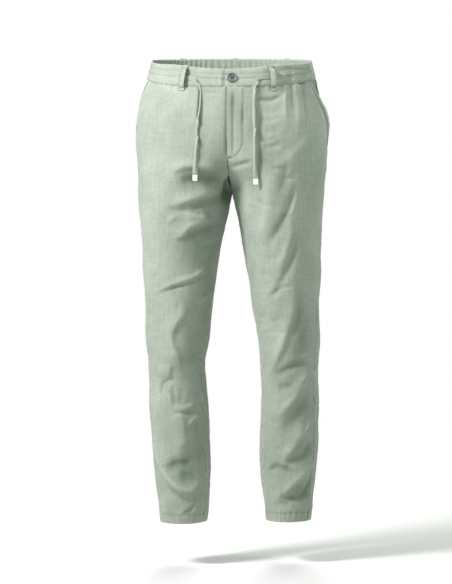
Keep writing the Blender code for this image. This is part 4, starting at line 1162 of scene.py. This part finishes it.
def gatherWave(side, angle):
    # the gathers that the elastic draws, the same in the band and in the top of the back panels
    turns = figure["waistRadius"] / panel["gatherPitch"] * 2 * math.pi
    return np.sin(turns * angle + 1.5 * np.sin(6 * angle + side) + 0.8 * np.sin(17 * angle))


def gatherLift(side, angle, level):
    drop = np.clip(figure["waist"] - level, 0, 1)
    fade = bell(drop, 0.034 + 0.016 * np.sin(9 * angle + 2))
    near = ease((np.abs(angle) - math.radians(4)) / math.radians(8))
    return panel["gather"] * gatherWave(side, angle) * fade * near


panels = {}
for panelSide in (right, left):
    for panelFace in (front, back):
        grid = panelGrid(panelSide, panelFace)
        panels[panelSide, panelFace] = grid
        faceName = "front" if panelFace == front else "back"
        outward = grid["normals"][len(grid["level"]) // 2, grid["distance"].shape[1] // 2]
        piece = sheetObject(
            f"{faceName}Panel{sideName[panelSide]}", grid["points"], bodyLinen, grid["uv"], grid["marks"],
            panel["thick"], outward,
        )
        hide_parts(f"{faceName}_{nodeSide[panelSide]}")
print("panels ready")


def onPanel(side, face, level, distance, lift=0.0):
    # points on a finished panel, by grid level and distance from its first edge, or from its last if negative
    grid = panels[side, face]
    rows, columns = grid["mainRows"], grid["mainColumns"]
    level, distance = np.broadcast_arrays(np.asarray(level, float), np.asarray(distance, float))
    levels = grid["level"][rows]
    found = np.interp(-level, -levels, np.arange(len(rows)))
    points, normals = [], []
    for k, place in enumerate(found):
        i = min(int(place), len(rows) - 2)
        share = place - i
        pair = []
        for row in (rows[i], rows[i + 1]):
            reach = grid["distance"][row, columns]
            target = distance[k] if distance[k] >= 0 else grid["width"][row] + distance[k]
            pair.append([
                np.array([np.interp(target, reach, grid[key][row, columns, axis]) for axis in range(3)])
                for key in ("points", "normals")
            ])
        points.append(pair[0][0] * (1 - share) + pair[1][0] * share)
        normals.append(pair[0][1] * (1 - share) + pair[1][1] * share)
    normals = unit(np.array(normals))
    return np.array(points) + normals * lift, normals


stitch = {"length": 0.0027, "gap": 0.0008, "radius": 0.00026}
barTack = {"length": 0.0031, "gap": 0.0, "radius": 0.00024}


def sew(name, lines, setting=stitch):
    # rows of single stitches; each line is its points and the cloth's normals there
    sides = 5
    bow = (-0.00012, 0.00016, -0.00012)  # a stitch's ends dip into the cloth
    rings = []
    for points, normals in lines:
        walked = lengthAlong(points)
        pitch = setting["length"] + setting["gap"]
        for k in range(int(walked[-1] / pitch)):
            share = np.array([0.0, 0.5, 1.0]) * setting["length"] + k * pitch
            at = np.stack([np.interp(share, walked, points[:, a]) for a in range(3)], -1)
            up = unit(np.stack([np.interp(share, walked, normals[:, a]) for a in range(3)], -1))
            way = at[2] - at[0]
            way /= np.linalg.norm(way) + 1e-12
            out = np.cross(way, up)
            for j, size in enumerate((0.55, 1.0, 0.55)):
                turn = np.linspace(0, 2 * math.pi, sides, endpoint=False)[:, None]
                circle = (np.cos(turn) * out[j] + np.sin(turn) * up[j]) * setting["radius"] * size
                rings.append(at[j] + up[j] * bow[j] + circle)
    rings = np.array(rings).reshape(-1, 3, sides, 3)
    number = np.arange(rings.size // 3).reshape(-1, 3, sides)
    after = np.roll(number, -1, axis=2)
    walls = np.stack([number[:, :-1], after[:, :-1], after[:, 1:], number[:, 1:]], -1).reshape(-1, 4).tolist()
    caps = number[:, 0, ::-1].tolist() + number[:, 2].tolist()
    length = np.repeat([0, 0.0013, 0.0026], sides)
    uv = np.tile(np.stack([0 * length, length], -1), (len(rings), 1))
    facesOut(meshObject(name, rings.reshape(-1, 3), walls + caps, seamThread, uv))


pocket = {
    "end": -0.200,
    "reach": 0.120,  # forwards from the mouth
    "underBack": 0.008,
    "inward": 0.0034,
    "slack": 0.006,  # how far it bags
    "thick": 0.0009,
    "rows": 60,
    "columns": 52,
    "cut": (0.155, 0.185),
    "area": 0.0205,
}


def makePocket(side):
    # the hip facing that shows behind the mouth and grows into the bag, one layer behind the front
    drop = np.linspace(0, 1, pocket["rows"])
    level = figure["waist"] + 0.004 + (pocket["end"] - figure["waist"] - 0.004) * drop
    mouth = settle(0.2, lambda z: pocketMouth(side, z), level)
    seam = sideSeam(side, heightOf(level, mouth))
    first = seam - pocket["underBack"] / arcStep(side, seam, level)
    reach = pocket["reach"] * np.sqrt(1 - 0.7 * drop**5)
    last = mouth + reach / arcStep(side, mouth + 0.5, level)
    share = np.linspace(0, 1, pocket["columns"])
    angle = first[:, None] + (last - first)[:, None] * share
    loose = np.sin(math.pi * np.clip((angle - mouth[:, None]) / (last - mouth)[:, None], 0, 1))
    swell = pocket["slack"] * np.sin(math.pi * np.minimum(1.0, 0.2 + 0.8 * drop)) * ease(drop * 4)
    lift = -pocket["inward"] - swell[:, None] * loose
    z = heightOf(level[:, None], angle)
    points, normals, rise = clothAt(side, angle, z, lift)
    step = np.linalg.norm(np.diff(points, axis=1), axis=2).cumsum(1)
    u = np.concatenate([np.zeros((len(level), 1)), step], 1)
    uv = np.stack([u, np.broadcast_to((figure["waist"] - level)[:, None], u.shape)], -1)
    # painted shade on the facing where it shows in shadow behind the mouth
    marks = {"fold": paintedShadeAndHighlight(side, back, points), "wear": 0 * rise}
    bag = sheetObject(
        f"pocketFacing{sideName[side]}", points, pocketLinen, uv, marks, pocket["thick"], normals[30, 20]
    )
    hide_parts(f"pocket_{nodeSide[side]}")


for pocketSide in (right, left):
    makePocket(pocketSide)

flyFacing = {
    "from": 0.0100,  # distances from the fly's edge
    "to": 0.0350,
    "top": -0.0185,
    "end": -0.1830,
    "curve": 0.70,  # share of its length at which it starts to round off
    "foot": 0.004,
    "thick": 0.0009,
    "inward": 0.0034,
    "cut": (0.0270, 0.1680),
    "area": 0.0041,
}


def makeFlyFacing():
    # the curved facing behind the wearer's left front
    drop = np.linspace(0, 1, 40)
    bend = np.clip((drop - flyFacing["curve"]) / (1 - flyFacing["curve"]), 0, 1)
    widest = flyFacing["to"] - flyFacing["from"]
    width = flyFacing["foot"] + (widest - flyFacing["foot"]) * np.sqrt(1 - bend**2)
    level = flyFacing["top"] + (flyFacing["end"] - flyFacing["top"]) * drop
    centre = settle(1.57, lambda z: innerEdge(left, z, front), level)
    share = np.linspace(0, 1, 14)
    reach = flyFacing["from"] + width[:, None] * share
    angle = centre[:, None] - reach / arcStep(left, centre, level)[:, None]
    z = heightOf(level[:, None], angle)
    points, normals, rise = clothAt(left, angle, z, -flyFacing["inward"])
    uv = np.stack([width[:, None] * share, np.broadcast_to(-level[:, None], angle.shape)], -1)
    marks = {"fold": 0 * rise, "wear": 0 * rise}
    made = sheetObject("flyFacingPiece", points, pocketLinen, uv, marks, flyFacing["thick"], normals[20, 7])
    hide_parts("fly_facing")


makeFlyFacing()
print("pockets and fly facing ready")

waistband = {
    "height": 0.038,
    "proud": 0.0006,
    "thick": 0.0024,
    "channelLine": 0.0168,  # above the seam: the drawcord's channel lies below it
    "footLine": 0.0020,
    "grooves": [(0.0168, 0.0010), (0.0275, 0.0004), (0.0020, 0.0005)],  # height of each line, and its depth
    "channelSwell": 0.0010,
    "pucker": 0.0007,
    "puckerPitch": 0.0095,
    "puckerAt": [  # angle, spread and share of the places where it draws up most
        (math.radians(48), math.radians(13), 0.9), (math.radians(84), math.radians(6), 0.7),
    ],
    "calm": 0.45,  # share of the cloth's creases that the band takes up
    "rise": 0.13,
    "riseAt": math.radians(52),
    "riseSpread": math.radians(20),
    "overlap": 0.0032,
    "underlap": 0.028,
    "shade": 0.34,  # painted shade on the front band where it turns towards the wearer's left side
    "shadeFrom": math.radians(57),
    "stepLength": 0.010,
    "endGap": 0.0002,  # between the front and the back band at the pocket mouth
    "elasticSwing": 0.0012,
    "elasticBite": 0.0005,
    "elasticRows": [0.0095, 0.0190, 0.0285],
    "cut": {right: 0.268, left: 0.238, "back": 0.55},
}


def bandLift(side, angle, h, elastic):
    # how the band's outer face rises between its stitch lines
    band = waistband
    if elastic:
        near = ease((np.abs(angle) - math.radians(6)) / math.radians(8))
        near = near * (0.55 + 0.45 * np.cos(h / band["height"] * 2.2))
        lift = band["elasticSwing"] * gatherWave(side, angle) * near
        for line in band["elasticRows"]:
            lift = lift - band["elasticBite"] * bell(h - line, 0.0011)
        return lift
    turns = figure["waistRadius"] / band["puckerPitch"] * 2 * math.pi
    share = 0.25 + sum(most * bell(angle - place, spread) for place, spread, most in band["puckerAt"])
    ripple = np.sin(turns * angle + 1.8 * np.sin(9 * angle + side)) * share
    lift = band["channelSwell"] * np.sin(math.pi * np.clip(h / band["channelLine"], 0, 1))
    for line, depth in band["grooves"]:
        lift = lift - depth * bell(h - line, panel["biteWidth"])
        lift = lift + band["pucker"] * ripple * bell(h - line, 0.0040) * (depth / 0.0010)
    return lift


def bandHeight(angle, h):
    # the band stands a little taller beside the belt loops, where the drawcord pulls it up
    near = bell(angle - waistband["riseAt"], waistband["riseSpread"])
    return waistSeam(angle) + h * (1 + waistband["rise"] * near)


def bandPoint(side, angle, h, lift=0.0, elastic=False):
    angle, h = np.broadcast_arrays(np.asarray(angle, float), np.asarray(h, float))
    z = bandHeight(angle, h)
    total = waistband["proud"] + bandLift(side, angle, h, elastic) + lift
    return clothAt(side, angle, z, total, waistband["calm"])


def bandRings(stations, elastic):
    # stations: side, angle, how deep the end passes beneath, share of the full thickness
    band = waistband
    top, half = band["height"], band["thick"] / 2
    outer = np.concatenate([[0.0003, 0.0009], np.linspace(0.0020, top - 0.0014, 26), [top - 0.0005]])
    inner = np.linspace(top - 0.0012, 0.0006, 12)
    heights = np.concatenate([outer, [top], inner])
    depth = np.concatenate([
        [0.0007, 0.0002], np.zeros(len(outer) - 3), [0.0004], [half], np.full(len(inner), 2 * half)
    ])
    found = np.zeros((len(stations), len(heights), 3))
    for side in (right, left):
        picked = [k for k, station in enumerate(stations) if station[0] == side]
        if not picked:
            continue
        angle, under, full = [np.array([stations[k][j] for k in picked])[:, None] for j in (1, 2, 3)]
        h = np.broadcast_to(heights, (len(picked), len(heights)))
        lift = band["proud"] - half - (depth - half) * full - under
        swell = bandLift(side, angle, h, elastic)
        lift = lift + np.where(depth < half, swell, swell * elastic)
        z = bandHeight(angle, top / 2 + (h - top / 2) * (0.96 + 0.04 * full))
        found[picked] = clothAt(side, np.broadcast_to(angle, h.shape), z, lift, band["calm"])[0]
    edge = 0.5 * bell(top - heights, 0.0016) + 0.4 * bell(heights, 0.0016)
    wear = edge * (0.6 + 0.4 * np.sin(np.arange(len(stations)) * 0.9))[:, None]
    # painted shade in the stitch grooves and along the seam; on the front band also where it turns towards
    # the wearer's left side
    lines = band["elasticRows"] if elastic else [line for line, _ in band["grooves"]]
    shaded = sum(bell(heights - line, 0.0014) for line in lines) + bell(heights, 0.0012)
    shaded = np.broadcast_to(np.where(depth < half, 0.22 * shaded, 0), wear.shape)
    if not elastic:
        turned = [
            ease((band["shadeFrom"] - angle) / math.radians(12)) if side == left else 0.0
            for side, angle, _, _ in stations
        ]
        shaded = shaded + band["shade"] * np.array(turned)[:, None] * (0.6 + 0.4 * np.cos(heights * 260))
    return found, {"fold": shaded, "wear": wear}


def bandAngles(side, start, end, step=0.0022):
    # evenly spaced angles along the waist seam
    fine = np.linspace(start, end, 600)
    steps = arcStep(side, (fine[1:] + fine[:-1]) / 2, figure["waist"]) * np.abs(np.diff(fine))
    walked = np.concatenate([[0], np.cumsum(steps)])
    return np.interp(np.linspace(0, walked[-1], int(walked[-1] / step)), walked, fine)


def bandEnd(side, gap):
    # the angle of a band's end at the pocket mouth
    waist = figure["waist"]
    return float(pocketMouth(side, waist)) + gap / float(arcStep(side, 0.28, waist))


def makeFrontBand(side):
    band = waistband
    seamZ = figure["waist"] - figure["waistDrop"]
    centre = float(centreAngle(side, seamZ, front))
    perMetre = 1 / float(arcStep(side, centre, seamZ))
    start = bandEnd(side, band["endGap"])
    end = centre + (band["overlap"] if side == left else band["underlap"]) * perMetre
    angles = bandAngles(side, start, end)
    stations = []
    for angle in angles:
        under = 0.0
        if side == right:
            passed = (angle - centre) / perMetre + band["overlap"]
            under = ease((passed + band["stepLength"]) / (band["stepLength"] - 0.001))
            under = under * (band["thick"] + 0.0005)
        full = 1.0
        for edge in (start, end):
            away = abs(angle - edge) / perMetre
            full = min(full, 0.3 + 0.7 * math.sqrt(min(1.0, away / 0.0012)))
        stations.append((side, angle, float(under), full))
    rings, marks = bandRings(stations, False)
    made = tubeObject(f"waistbandFront{sideName[side]}", rings, bandLinen, marks)
    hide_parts(f"waistband_front_{nodeSide[side]}")
    lines = []
    last = end - 0.003 * perMetre if side == left else centre - band["overlap"] * perMetre
    walk = np.linspace(start + 0.02, last, 160)
    for h in (band["channelLine"], band["footLine"]):
        points, normals, _ = bandPoint(side, walk, h, 0.0001)
        lines.append((points, normals))
    if side == left:
        rise = np.linspace(band["footLine"], band["height"] - 0.002, 20)
        points, normals, _ = bandPoint(side, np.full(20, last), rise, 0.0001)
        lines.append((points, normals))
    return lines


def makeBackBand():
    band = waistband
    stations = []
    for side in (right, left):
        start = bandEnd(side, -band["endGap"])
        end = float(centreAngle(side, figure["waist"], back))
        half = [(side, angle, 0.0, 1.0) for angle in bandAngles(side, start, end, 0.0019)]
        stations += half if side == right else half[-2::-1]
    stations[0] = (*stations[0][:3], 0.4)
    stations[-1] = (*stations[-1][:3], 0.4)
    rings, marks = bandRings(stations, True)
    made = tubeObject("waistbandBackElastic", rings, bandLinen, marks)
    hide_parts("waistband_back")
    lines = []
    for side in (right, left):
        walk = np.linspace(0.12, float(centreAngle(side, figure["waist"], back)), 170)
        for h in band["elasticRows"]:
            points, normals, _ = bandPoint(side, walk, h, 0.0001, True)
            lines.append((points, normals))
    return lines


bandLines = makeFrontBand(right) + makeFrontBand(left) + makeBackBand()
sew("stitchesWaistband", bandLines)
print("waistband ready")

beltLoop = {
    "width": 0.0128,
    "thick": 0.0015,
    "steps": [  # share of the band's height above the seam, how far the strap's back stands off the band
        (1.025, -0.0016), (0.99, 0.0003), (0.86, 0.0004), (0.72, 0.0060), (0.50, 0.0069), (0.22, 0.0069),
        (0.03, 0.0052), (-0.08, 0.0012), (-0.15, 0.0006), (-0.224, 0.0006),
    ],
    "tilt": {"beltLoopFrontRight": 0.0024, "beltLoopFrontLeft": 0.0010},  # the cord pulls one edge out
    "roundness": (0.5, 0.35),  # across and through
    "groove": (0.72, 0.09, 0.00035),  # share of the half width, its spread and depth: the edge stitches
    "bulge": 0.00018,
    "wear": (0.60, 0.16, 0.22),  # share of the half width, its spread and strength
    "endWear": 0.35,
    # painted shade along the strap's edges and painted shadow at its lower end
    "edgeShade": 0.8,
    "footShadow": 0.55,
    "stitchAt": 0.36,  # share of the width, each way
    "frontAngle": math.radians(60),
    "backAngle": math.radians(42),
    "cut": {"Front": (0.0128, 0.058), "Back": (0.0128, 0.052)},  # the front straps bow further out
}


def makeLoop(name, side, angle, node):
    # a folded strap, tacked down at both ends and standing off the band between them
    loop = beltLoop
    path = smoothLine([(share * waistband["height"], off) for share, off in loop["steps"]], 44)
    angle = float(angle)
    z = bandHeight(angle, path[:, 0])
    lift = waistband["proud"] * ease((path[:, 0] + 0.004) / 0.004) + path[:, 1] + loop["thick"] / 2
    base, normals, _ = clothAt(side, np.full(len(z), angle), z, lift, waistband["calm"])
    sideways = unit(np.cross(unit(normals), [0.0, 0.0, 1.0]))
    out = np.cross(sideways, unit(np.gradient(base, axis=0)))
    out *= np.sign((out * normals).sum(1))[:, None]
    turn = np.linspace(0, 2 * math.pi, 28, endpoint=False)
    across = blunt(np.cos(turn), loop["roundness"][0])
    depth = blunt(np.sin(turn), loop["roundness"][1])
    place, spread, bite = loop["groove"]
    relief = (loop["bulge"] * (1 - across**2) - bite * bell(np.abs(across) - place, spread)) * np.sign(depth)
    place, spread, pale = loop["wear"]
    rings, wear = [], []
    for k in range(len(base)):
        ends = min(1.0, 0.35 + 0.65 * math.sqrt(min(k, len(base) - 1 - k) / 2))
        wide = across * loop["width"] / 2 * (0.97 + 0.03 * ends)
        deep = depth * loop["thick"] / 2 * ends + relief
        deep = deep - loop["tilt"].get(name, 0.0) * across * ease(path[k, 1] / 0.006)
        rings.append(base[k] + wide[:, None] * sideways[k] + deep[:, None] * out[k])
        folded = k < 2 or k >= len(base) - 2
        wear.append(pale * bell(np.abs(across) - place, spread) + loop["endWear"] * folded)
    # painted shade along the strap's edges, and a painted contact shadow where its lower end meets the band
    shaded = loop["edgeShade"] * ease((np.abs(across) - 0.80) / 0.10) * np.ones((len(base), 1))
    shaded[[-6, -5, -4]] = loop["footShadow"]
    made = tubeObject(name, np.array(rings), bandLinen, {"fold": shaded, "wear": np.array(wear)})
    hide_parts(node)
    place = "Back" if "Back" in name else "Front"
    lines = []
    inside = slice(3, len(base) - 2)
    for edge in (-loop["stitchAt"], loop["stitchAt"]):
        points = base[inside] + sideways[inside] * edge * loop["width"]
        lines.append((points + out[inside] * (loop["thick"] / 2 + 0.0001), out[inside]))
    for k in (5, len(base) - 5):
        walk = np.linspace(-0.40, 0.40, 8)[:, None] * loop["width"]
        points = base[k] + walk * sideways[k] + out[k] * (loop["thick"] / 2 + 0.0002)
        lines.append((points, np.repeat(out[k][None], 8, 0)))
    return lines


loopLines = []
backCentre = float(centreAngle(left, figure["waist"], back))
for loopSide in (right, left):
    loopLines += makeLoop(f"beltLoopFront{sideName[loopSide]}", loopSide, beltLoop["frontAngle"],
                          f"belt_loop_front_{nodeSide[loopSide]}")
    sideCentre = float(centreAngle(loopSide, figure["waist"], back))
    loopLines += makeLoop(f"beltLoopBack{sideName[loopSide]}", loopSide, sideCentre + beltLoop["backAngle"],
                          f"belt_loop_back_{nodeSide[loopSide]}")
loopLines += makeLoop("beltLoopBackCentre", left, backCentre, "belt_loop_back_centre")
sew("stitchesBeltLoops", loopLines)
print("belt loops ready")


def panelLines():
    lines = []
    hemLevel = figure["hem"] + panel["hemStitch"]
    for side in (right, left):
        for face in (front, back):
            row = panels[side, face]["width"][np.abs(panels[side, face]["level"] - hemLevel).argmin()]
            walk = np.linspace(0.001, row - 0.001, 60)
            lines.append(onPanel(side, face, np.full(60, hemLevel), walk, 0.0001))
        mouth = np.linspace(figure["waist"] - 0.004, panel["pocketEnd"] - 0.002, 50)
        for inward in panel["mouthStitches"]:
            lines.append(onPanel(side, front, mouth, np.full(50, inward), 0.0002))
    return lines


def flyLines():
    top = figure["waist"] - 0.004
    straight = np.linspace(top, fly["turnFrom"], 36)
    bend = np.sin(np.linspace(0, math.pi / 2, 26)[1:])
    levels = np.concatenate([straight, fly["turnFrom"] + (fly["foot"] - fly["turnFrom"]) * bend])
    j = onPanel(left, front, levels, -jReach(levels), 0.0001)
    edge = onPanel(left, front, np.linspace(top, fly["foot"] + 0.004, 50), np.full(50, -0.0018), 0.0001)
    return [j, edge]


def barTacks():
    # dense little bars that hold the ends of the pocket mouths and the fly
    lines = []
    for side in (right, left):
        for level in (figure["waist"] - 0.005, panel["pocketEnd"] - 0.001):
            for shift in np.linspace(-0.0006, 0.0006, 4):
                walk = np.linspace(0.0010, panel["mouthStitches"][1], 8)
                lines.append(onPanel(side, front, np.full(8, level + shift), walk, 0.0003))
    for shift in np.linspace(-0.0006, 0.0006, 4):
        foot = np.full(8, fly["foot"] + 0.0025 + shift)
        lines.append(onPanel(left, front, foot, -np.linspace(0.0005, 0.0075, 8), 0.0003))
    return lines


sew("stitchesPanels", panelLines() + flyLines())
sew("stitchesBarTacks", barTacks(), barTack)
print("stitches ready")

button = {
    "pastCentre": 0.0094,  # how far it lies to the wearer's left of the centre line
    "profile": [  # radius, height above its back
        (0.0000, 0.0000), (0.0080, 0.0000), (0.0094, 0.0003), (0.0101, 0.0009), (0.0103, 0.0016),
        (0.0102, 0.0022), (0.0098, 0.0027), (0.0092, 0.0030), (0.0086, 0.0030), (0.0081, 0.0027),
        (0.0077, 0.0023), (0.0070, 0.0020), (0.0050, 0.0019), (0.0000, 0.0018),
    ],
    "holeRadius": 0.00115,
    "holeSpread": 0.0016,  # from the middle, each way
    "strand": 0.00024,
    "strandShifts": (-0.00035, 0.0, 0.00035),
}


def makeButton():
    seamZ = figure["waist"] - figure["waistDrop"]
    angle = float(centreAngle(left, seamZ, front)) - button["pastCentre"] / float(arcStep(left, 1.5, seamZ))
    z = float(waistSeam(angle)) + waistband["height"] / 2
    lift = waistband["proud"] + 0.0006
    place, normal, _ = clothAt(left, np.array([angle]), np.array([z]), lift, waistband["calm"])
    place, normal = Vector(place[0]), Vector(normal[0]).normalized()
    mesh = bmesh.new()
    sides = 72
    rings = []
    for radius, rise in button["profile"]:
        if radius == 0:
            rings.append([mesh.verts.new((0, 0, rise))])
            continue
        turn = np.linspace(0, 2 * math.pi, sides, endpoint=False)
        rings.append([mesh.verts.new((radius * math.cos(a), radius * math.sin(a), rise)) for a in turn])
    for first, second in zip(rings, rings[1:]):
        for k in range(sides):
            after = (k + 1) % sides
            if len(first) == 1:
                mesh.faces.new((first[0], second[after], second[k]))
            elif len(second) == 1:
                mesh.faces.new((first[k], first[after], second[0]))
            else:
                mesh.faces.new((first[k], first[after], second[after], second[k]))
    data = bpy.data.meshes.new("closingButton")
    mesh.to_mesh(data)
    mesh.free()
    made = bpy.data.objects.new("closingButton", data)
    bpy.context.scene.collection.objects.link(made)
    facesOut(made)
    cutters = []
    for x in (-1, 1):
        for y in (-1, 1):
            bpy.ops.mesh.primitive_cylinder_add(
                vertices=28, radius=button["holeRadius"], depth=0.012,
                location=(x * button["holeSpread"], y * button["holeSpread"], 0.0015),
            )
            cutter = bpy.context.object
            hole = made.modifiers.new("threadHole", "BOOLEAN")
            hole.operation = "DIFFERENCE"
            hole.object = cutter
            cutters.append(cutter)
    graph = bpy.context.evaluated_depsgraph_get()
    cut = bpy.data.meshes.new_from_object(made.evaluated_get(graph))
    made.modifiers.clear()
    made.data = cut
    for cutter in cutters:
        bpy.data.objects.remove(cutter)
    turn = normal.to_track_quat("Z", "Y").to_matrix().to_4x4()
    turn.translation = place
    cut.transform(turn)
    cut.materials.clear()
    cut.materials.append(buttonResin)
    cut.shade_smooth()
    cut.set_sharp_from_angle(angle=math.radians(40))
    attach(made, "root")
    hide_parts("button")
    buttonThreads(np.array(place), np.array(turn.to_3x3()).T)


def buttonThreads(middle, axes):
    # two bars of thread, each from a lower hole to the one above it
    sideways, upward, outward = axes
    if abs(upward[2]) < abs(sideways[2]):
        sideways, upward = upward, sideways
    walk = np.linspace(-1, 1, 12)
    rise = 0.0021 + 0.0005 * np.cos(walk * 1.2) - 0.0012 * np.abs(walk) ** 6
    around = np.linspace(0, 2 * math.pi, 6, endpoint=False)
    circle = np.cos(around)[:, None] * sideways + np.sin(around)[:, None] * outward
    spread = button["holeSpread"]
    for number, x in enumerate((-1, 1)):
        for strand, shift in enumerate(button["strandShifts"]):
            line = middle + outward * rise[:, None] + upward * (walk * spread)[:, None]
            line = line + sideways * (x * spread + shift)
            rings = line[:, None] + circle * button["strand"]
            tubeObject(f"buttonThread{number}{strand}", rings, buttonThread)


makeButton()
print("button ready")

studio = {
    "floor": -1.032,
    "floorSize": 2.0,
    "key": {"place": (-1.75, -1.45, 1.30), "size": 0.8, "power": 134.0, "colour": (1.0, 0.90, 0.99),
            "aim": (0.0, 0.0, -0.25)},
    "fill": {"place": (1.25, -0.30, 0.80), "size": 0.6, "power": 11.0, "colour": (1.0, 0.97, 1.0),
             "aim": (0.15, 0.0, -0.12)},
    "front": {"place": (0.40, -1.60, 0.80), "size": 0.5, "power": 0.55, "colour": (1.0, 0.93, 1.0),
              "aim": (0.06, 0.0, -0.06), "spread": math.radians(45)},
    "top": {"place": (0.3, 2.9, 2.0), "size": 2.4, "power": 135.0, "colour": (1.0, 1.0, 1.0),
            "aim": (0.3, 1.7, -1.03)},
    "farFloor": (0.79, 0.80, 0.785, 1.0),  # the sweep, where it would run on beyond the floor's edge
    "nearFloor": (0.50, 0.51, 0.50, 1.0),  # and the same on the camera's side
    "horizon": (1.0, 1.0, 1.0, 1.0),
    "behindCamera": (0.72, 0.73, 0.72, 1.0),
    "overhead": (0.085, 0.105, 0.080, 1.0),  # a dim room above, so that folds stay deep
    "borders": [  # between behind and ahead, wall and room, floor and wall
        (-0.65, -0.20), (0.155, 0.22), (-0.30, -0.155),
    ],
}


def makeStudio():
    bpy.ops.mesh.primitive_circle_add(
        vertices=96, radius=studio["floorSize"], fill_type="NGON", location=(0, 0, studio["floor"])
    )
    floor = bpy.context.object
    floor.name = "studioFloor"
    floor.data.materials.append(mattPaper("studioPaper"))
    for name in ("key", "fill", "front", "top"):
        setting = studio[name]
        data = bpy.data.lights.new(f"{name}Light", "AREA")
        data.shape = "DISK"
        data.size = setting["size"]
        data.energy = setting["power"]
        data.color = setting["colour"]
        data.spread = setting.get("spread", math.pi)
        light = bpy.data.objects.new(f"{name}Light", data)
        light.location = setting["place"]
        aim = Vector(setting["aim"]) - Vector(setting["place"])
        light.rotation_euler = aim.to_track_quat("-Z", "Y").to_euler()
        bpy.context.scene.collection.objects.link(light)
    world = bpy.data.worlds.new("studioRoom")
    bpy.context.scene.world = world
    world.use_nodes = True
    tree = world.node_tree
    sky = tree.nodes["Background"]
    direction = addNode(tree, "ShaderNodeTexCoord").outputs["Generated"]
    parts = addNode(tree, "ShaderNodeSeparateXYZ", {}, {0: direction}).outputs
    shares = []
    for value, (low, high) in zip((parts[1], parts[2], parts[2]), studio["borders"]):
        setting = {"interpolation_type": "SMOOTHSTEP", "From Min": low, "From Max": high}
        shares.append(addNode(tree, "ShaderNodeMapRange", setting, {"Value": value}).outputs[0])
    ahead, overhead, aboveFloor = shares
    sides = []
    for near, far in (("behindCamera", "horizon"), ("nearFloor", "farFloor")):
        setting = {"data_type": "RGBA", 6: studio[near], 7: studio[far]}
        sides.append(addNode(tree, "ShaderNodeMix", setting, {0: ahead}).outputs[2])
    wall, sweep = sides
    glow = addNode(
        tree, "ShaderNodeMix", {"data_type": "RGBA", 7: studio["overhead"]}, {0: overhead, 6: wall}
    ).outputs[2]
    glow = addNode(
        tree, "ShaderNodeMix", {"data_type": "RGBA"}, {0: aboveFloor, 6: sweep, 7: glow}
    ).outputs[2]
    tree.links.new(glow, sky.inputs["Color"])
    sky.inputs["Strength"].default_value = 1.0
    bpy.context.scene.view_settings.view_transform = "Standard"


makeStudio()
print("studio ready")
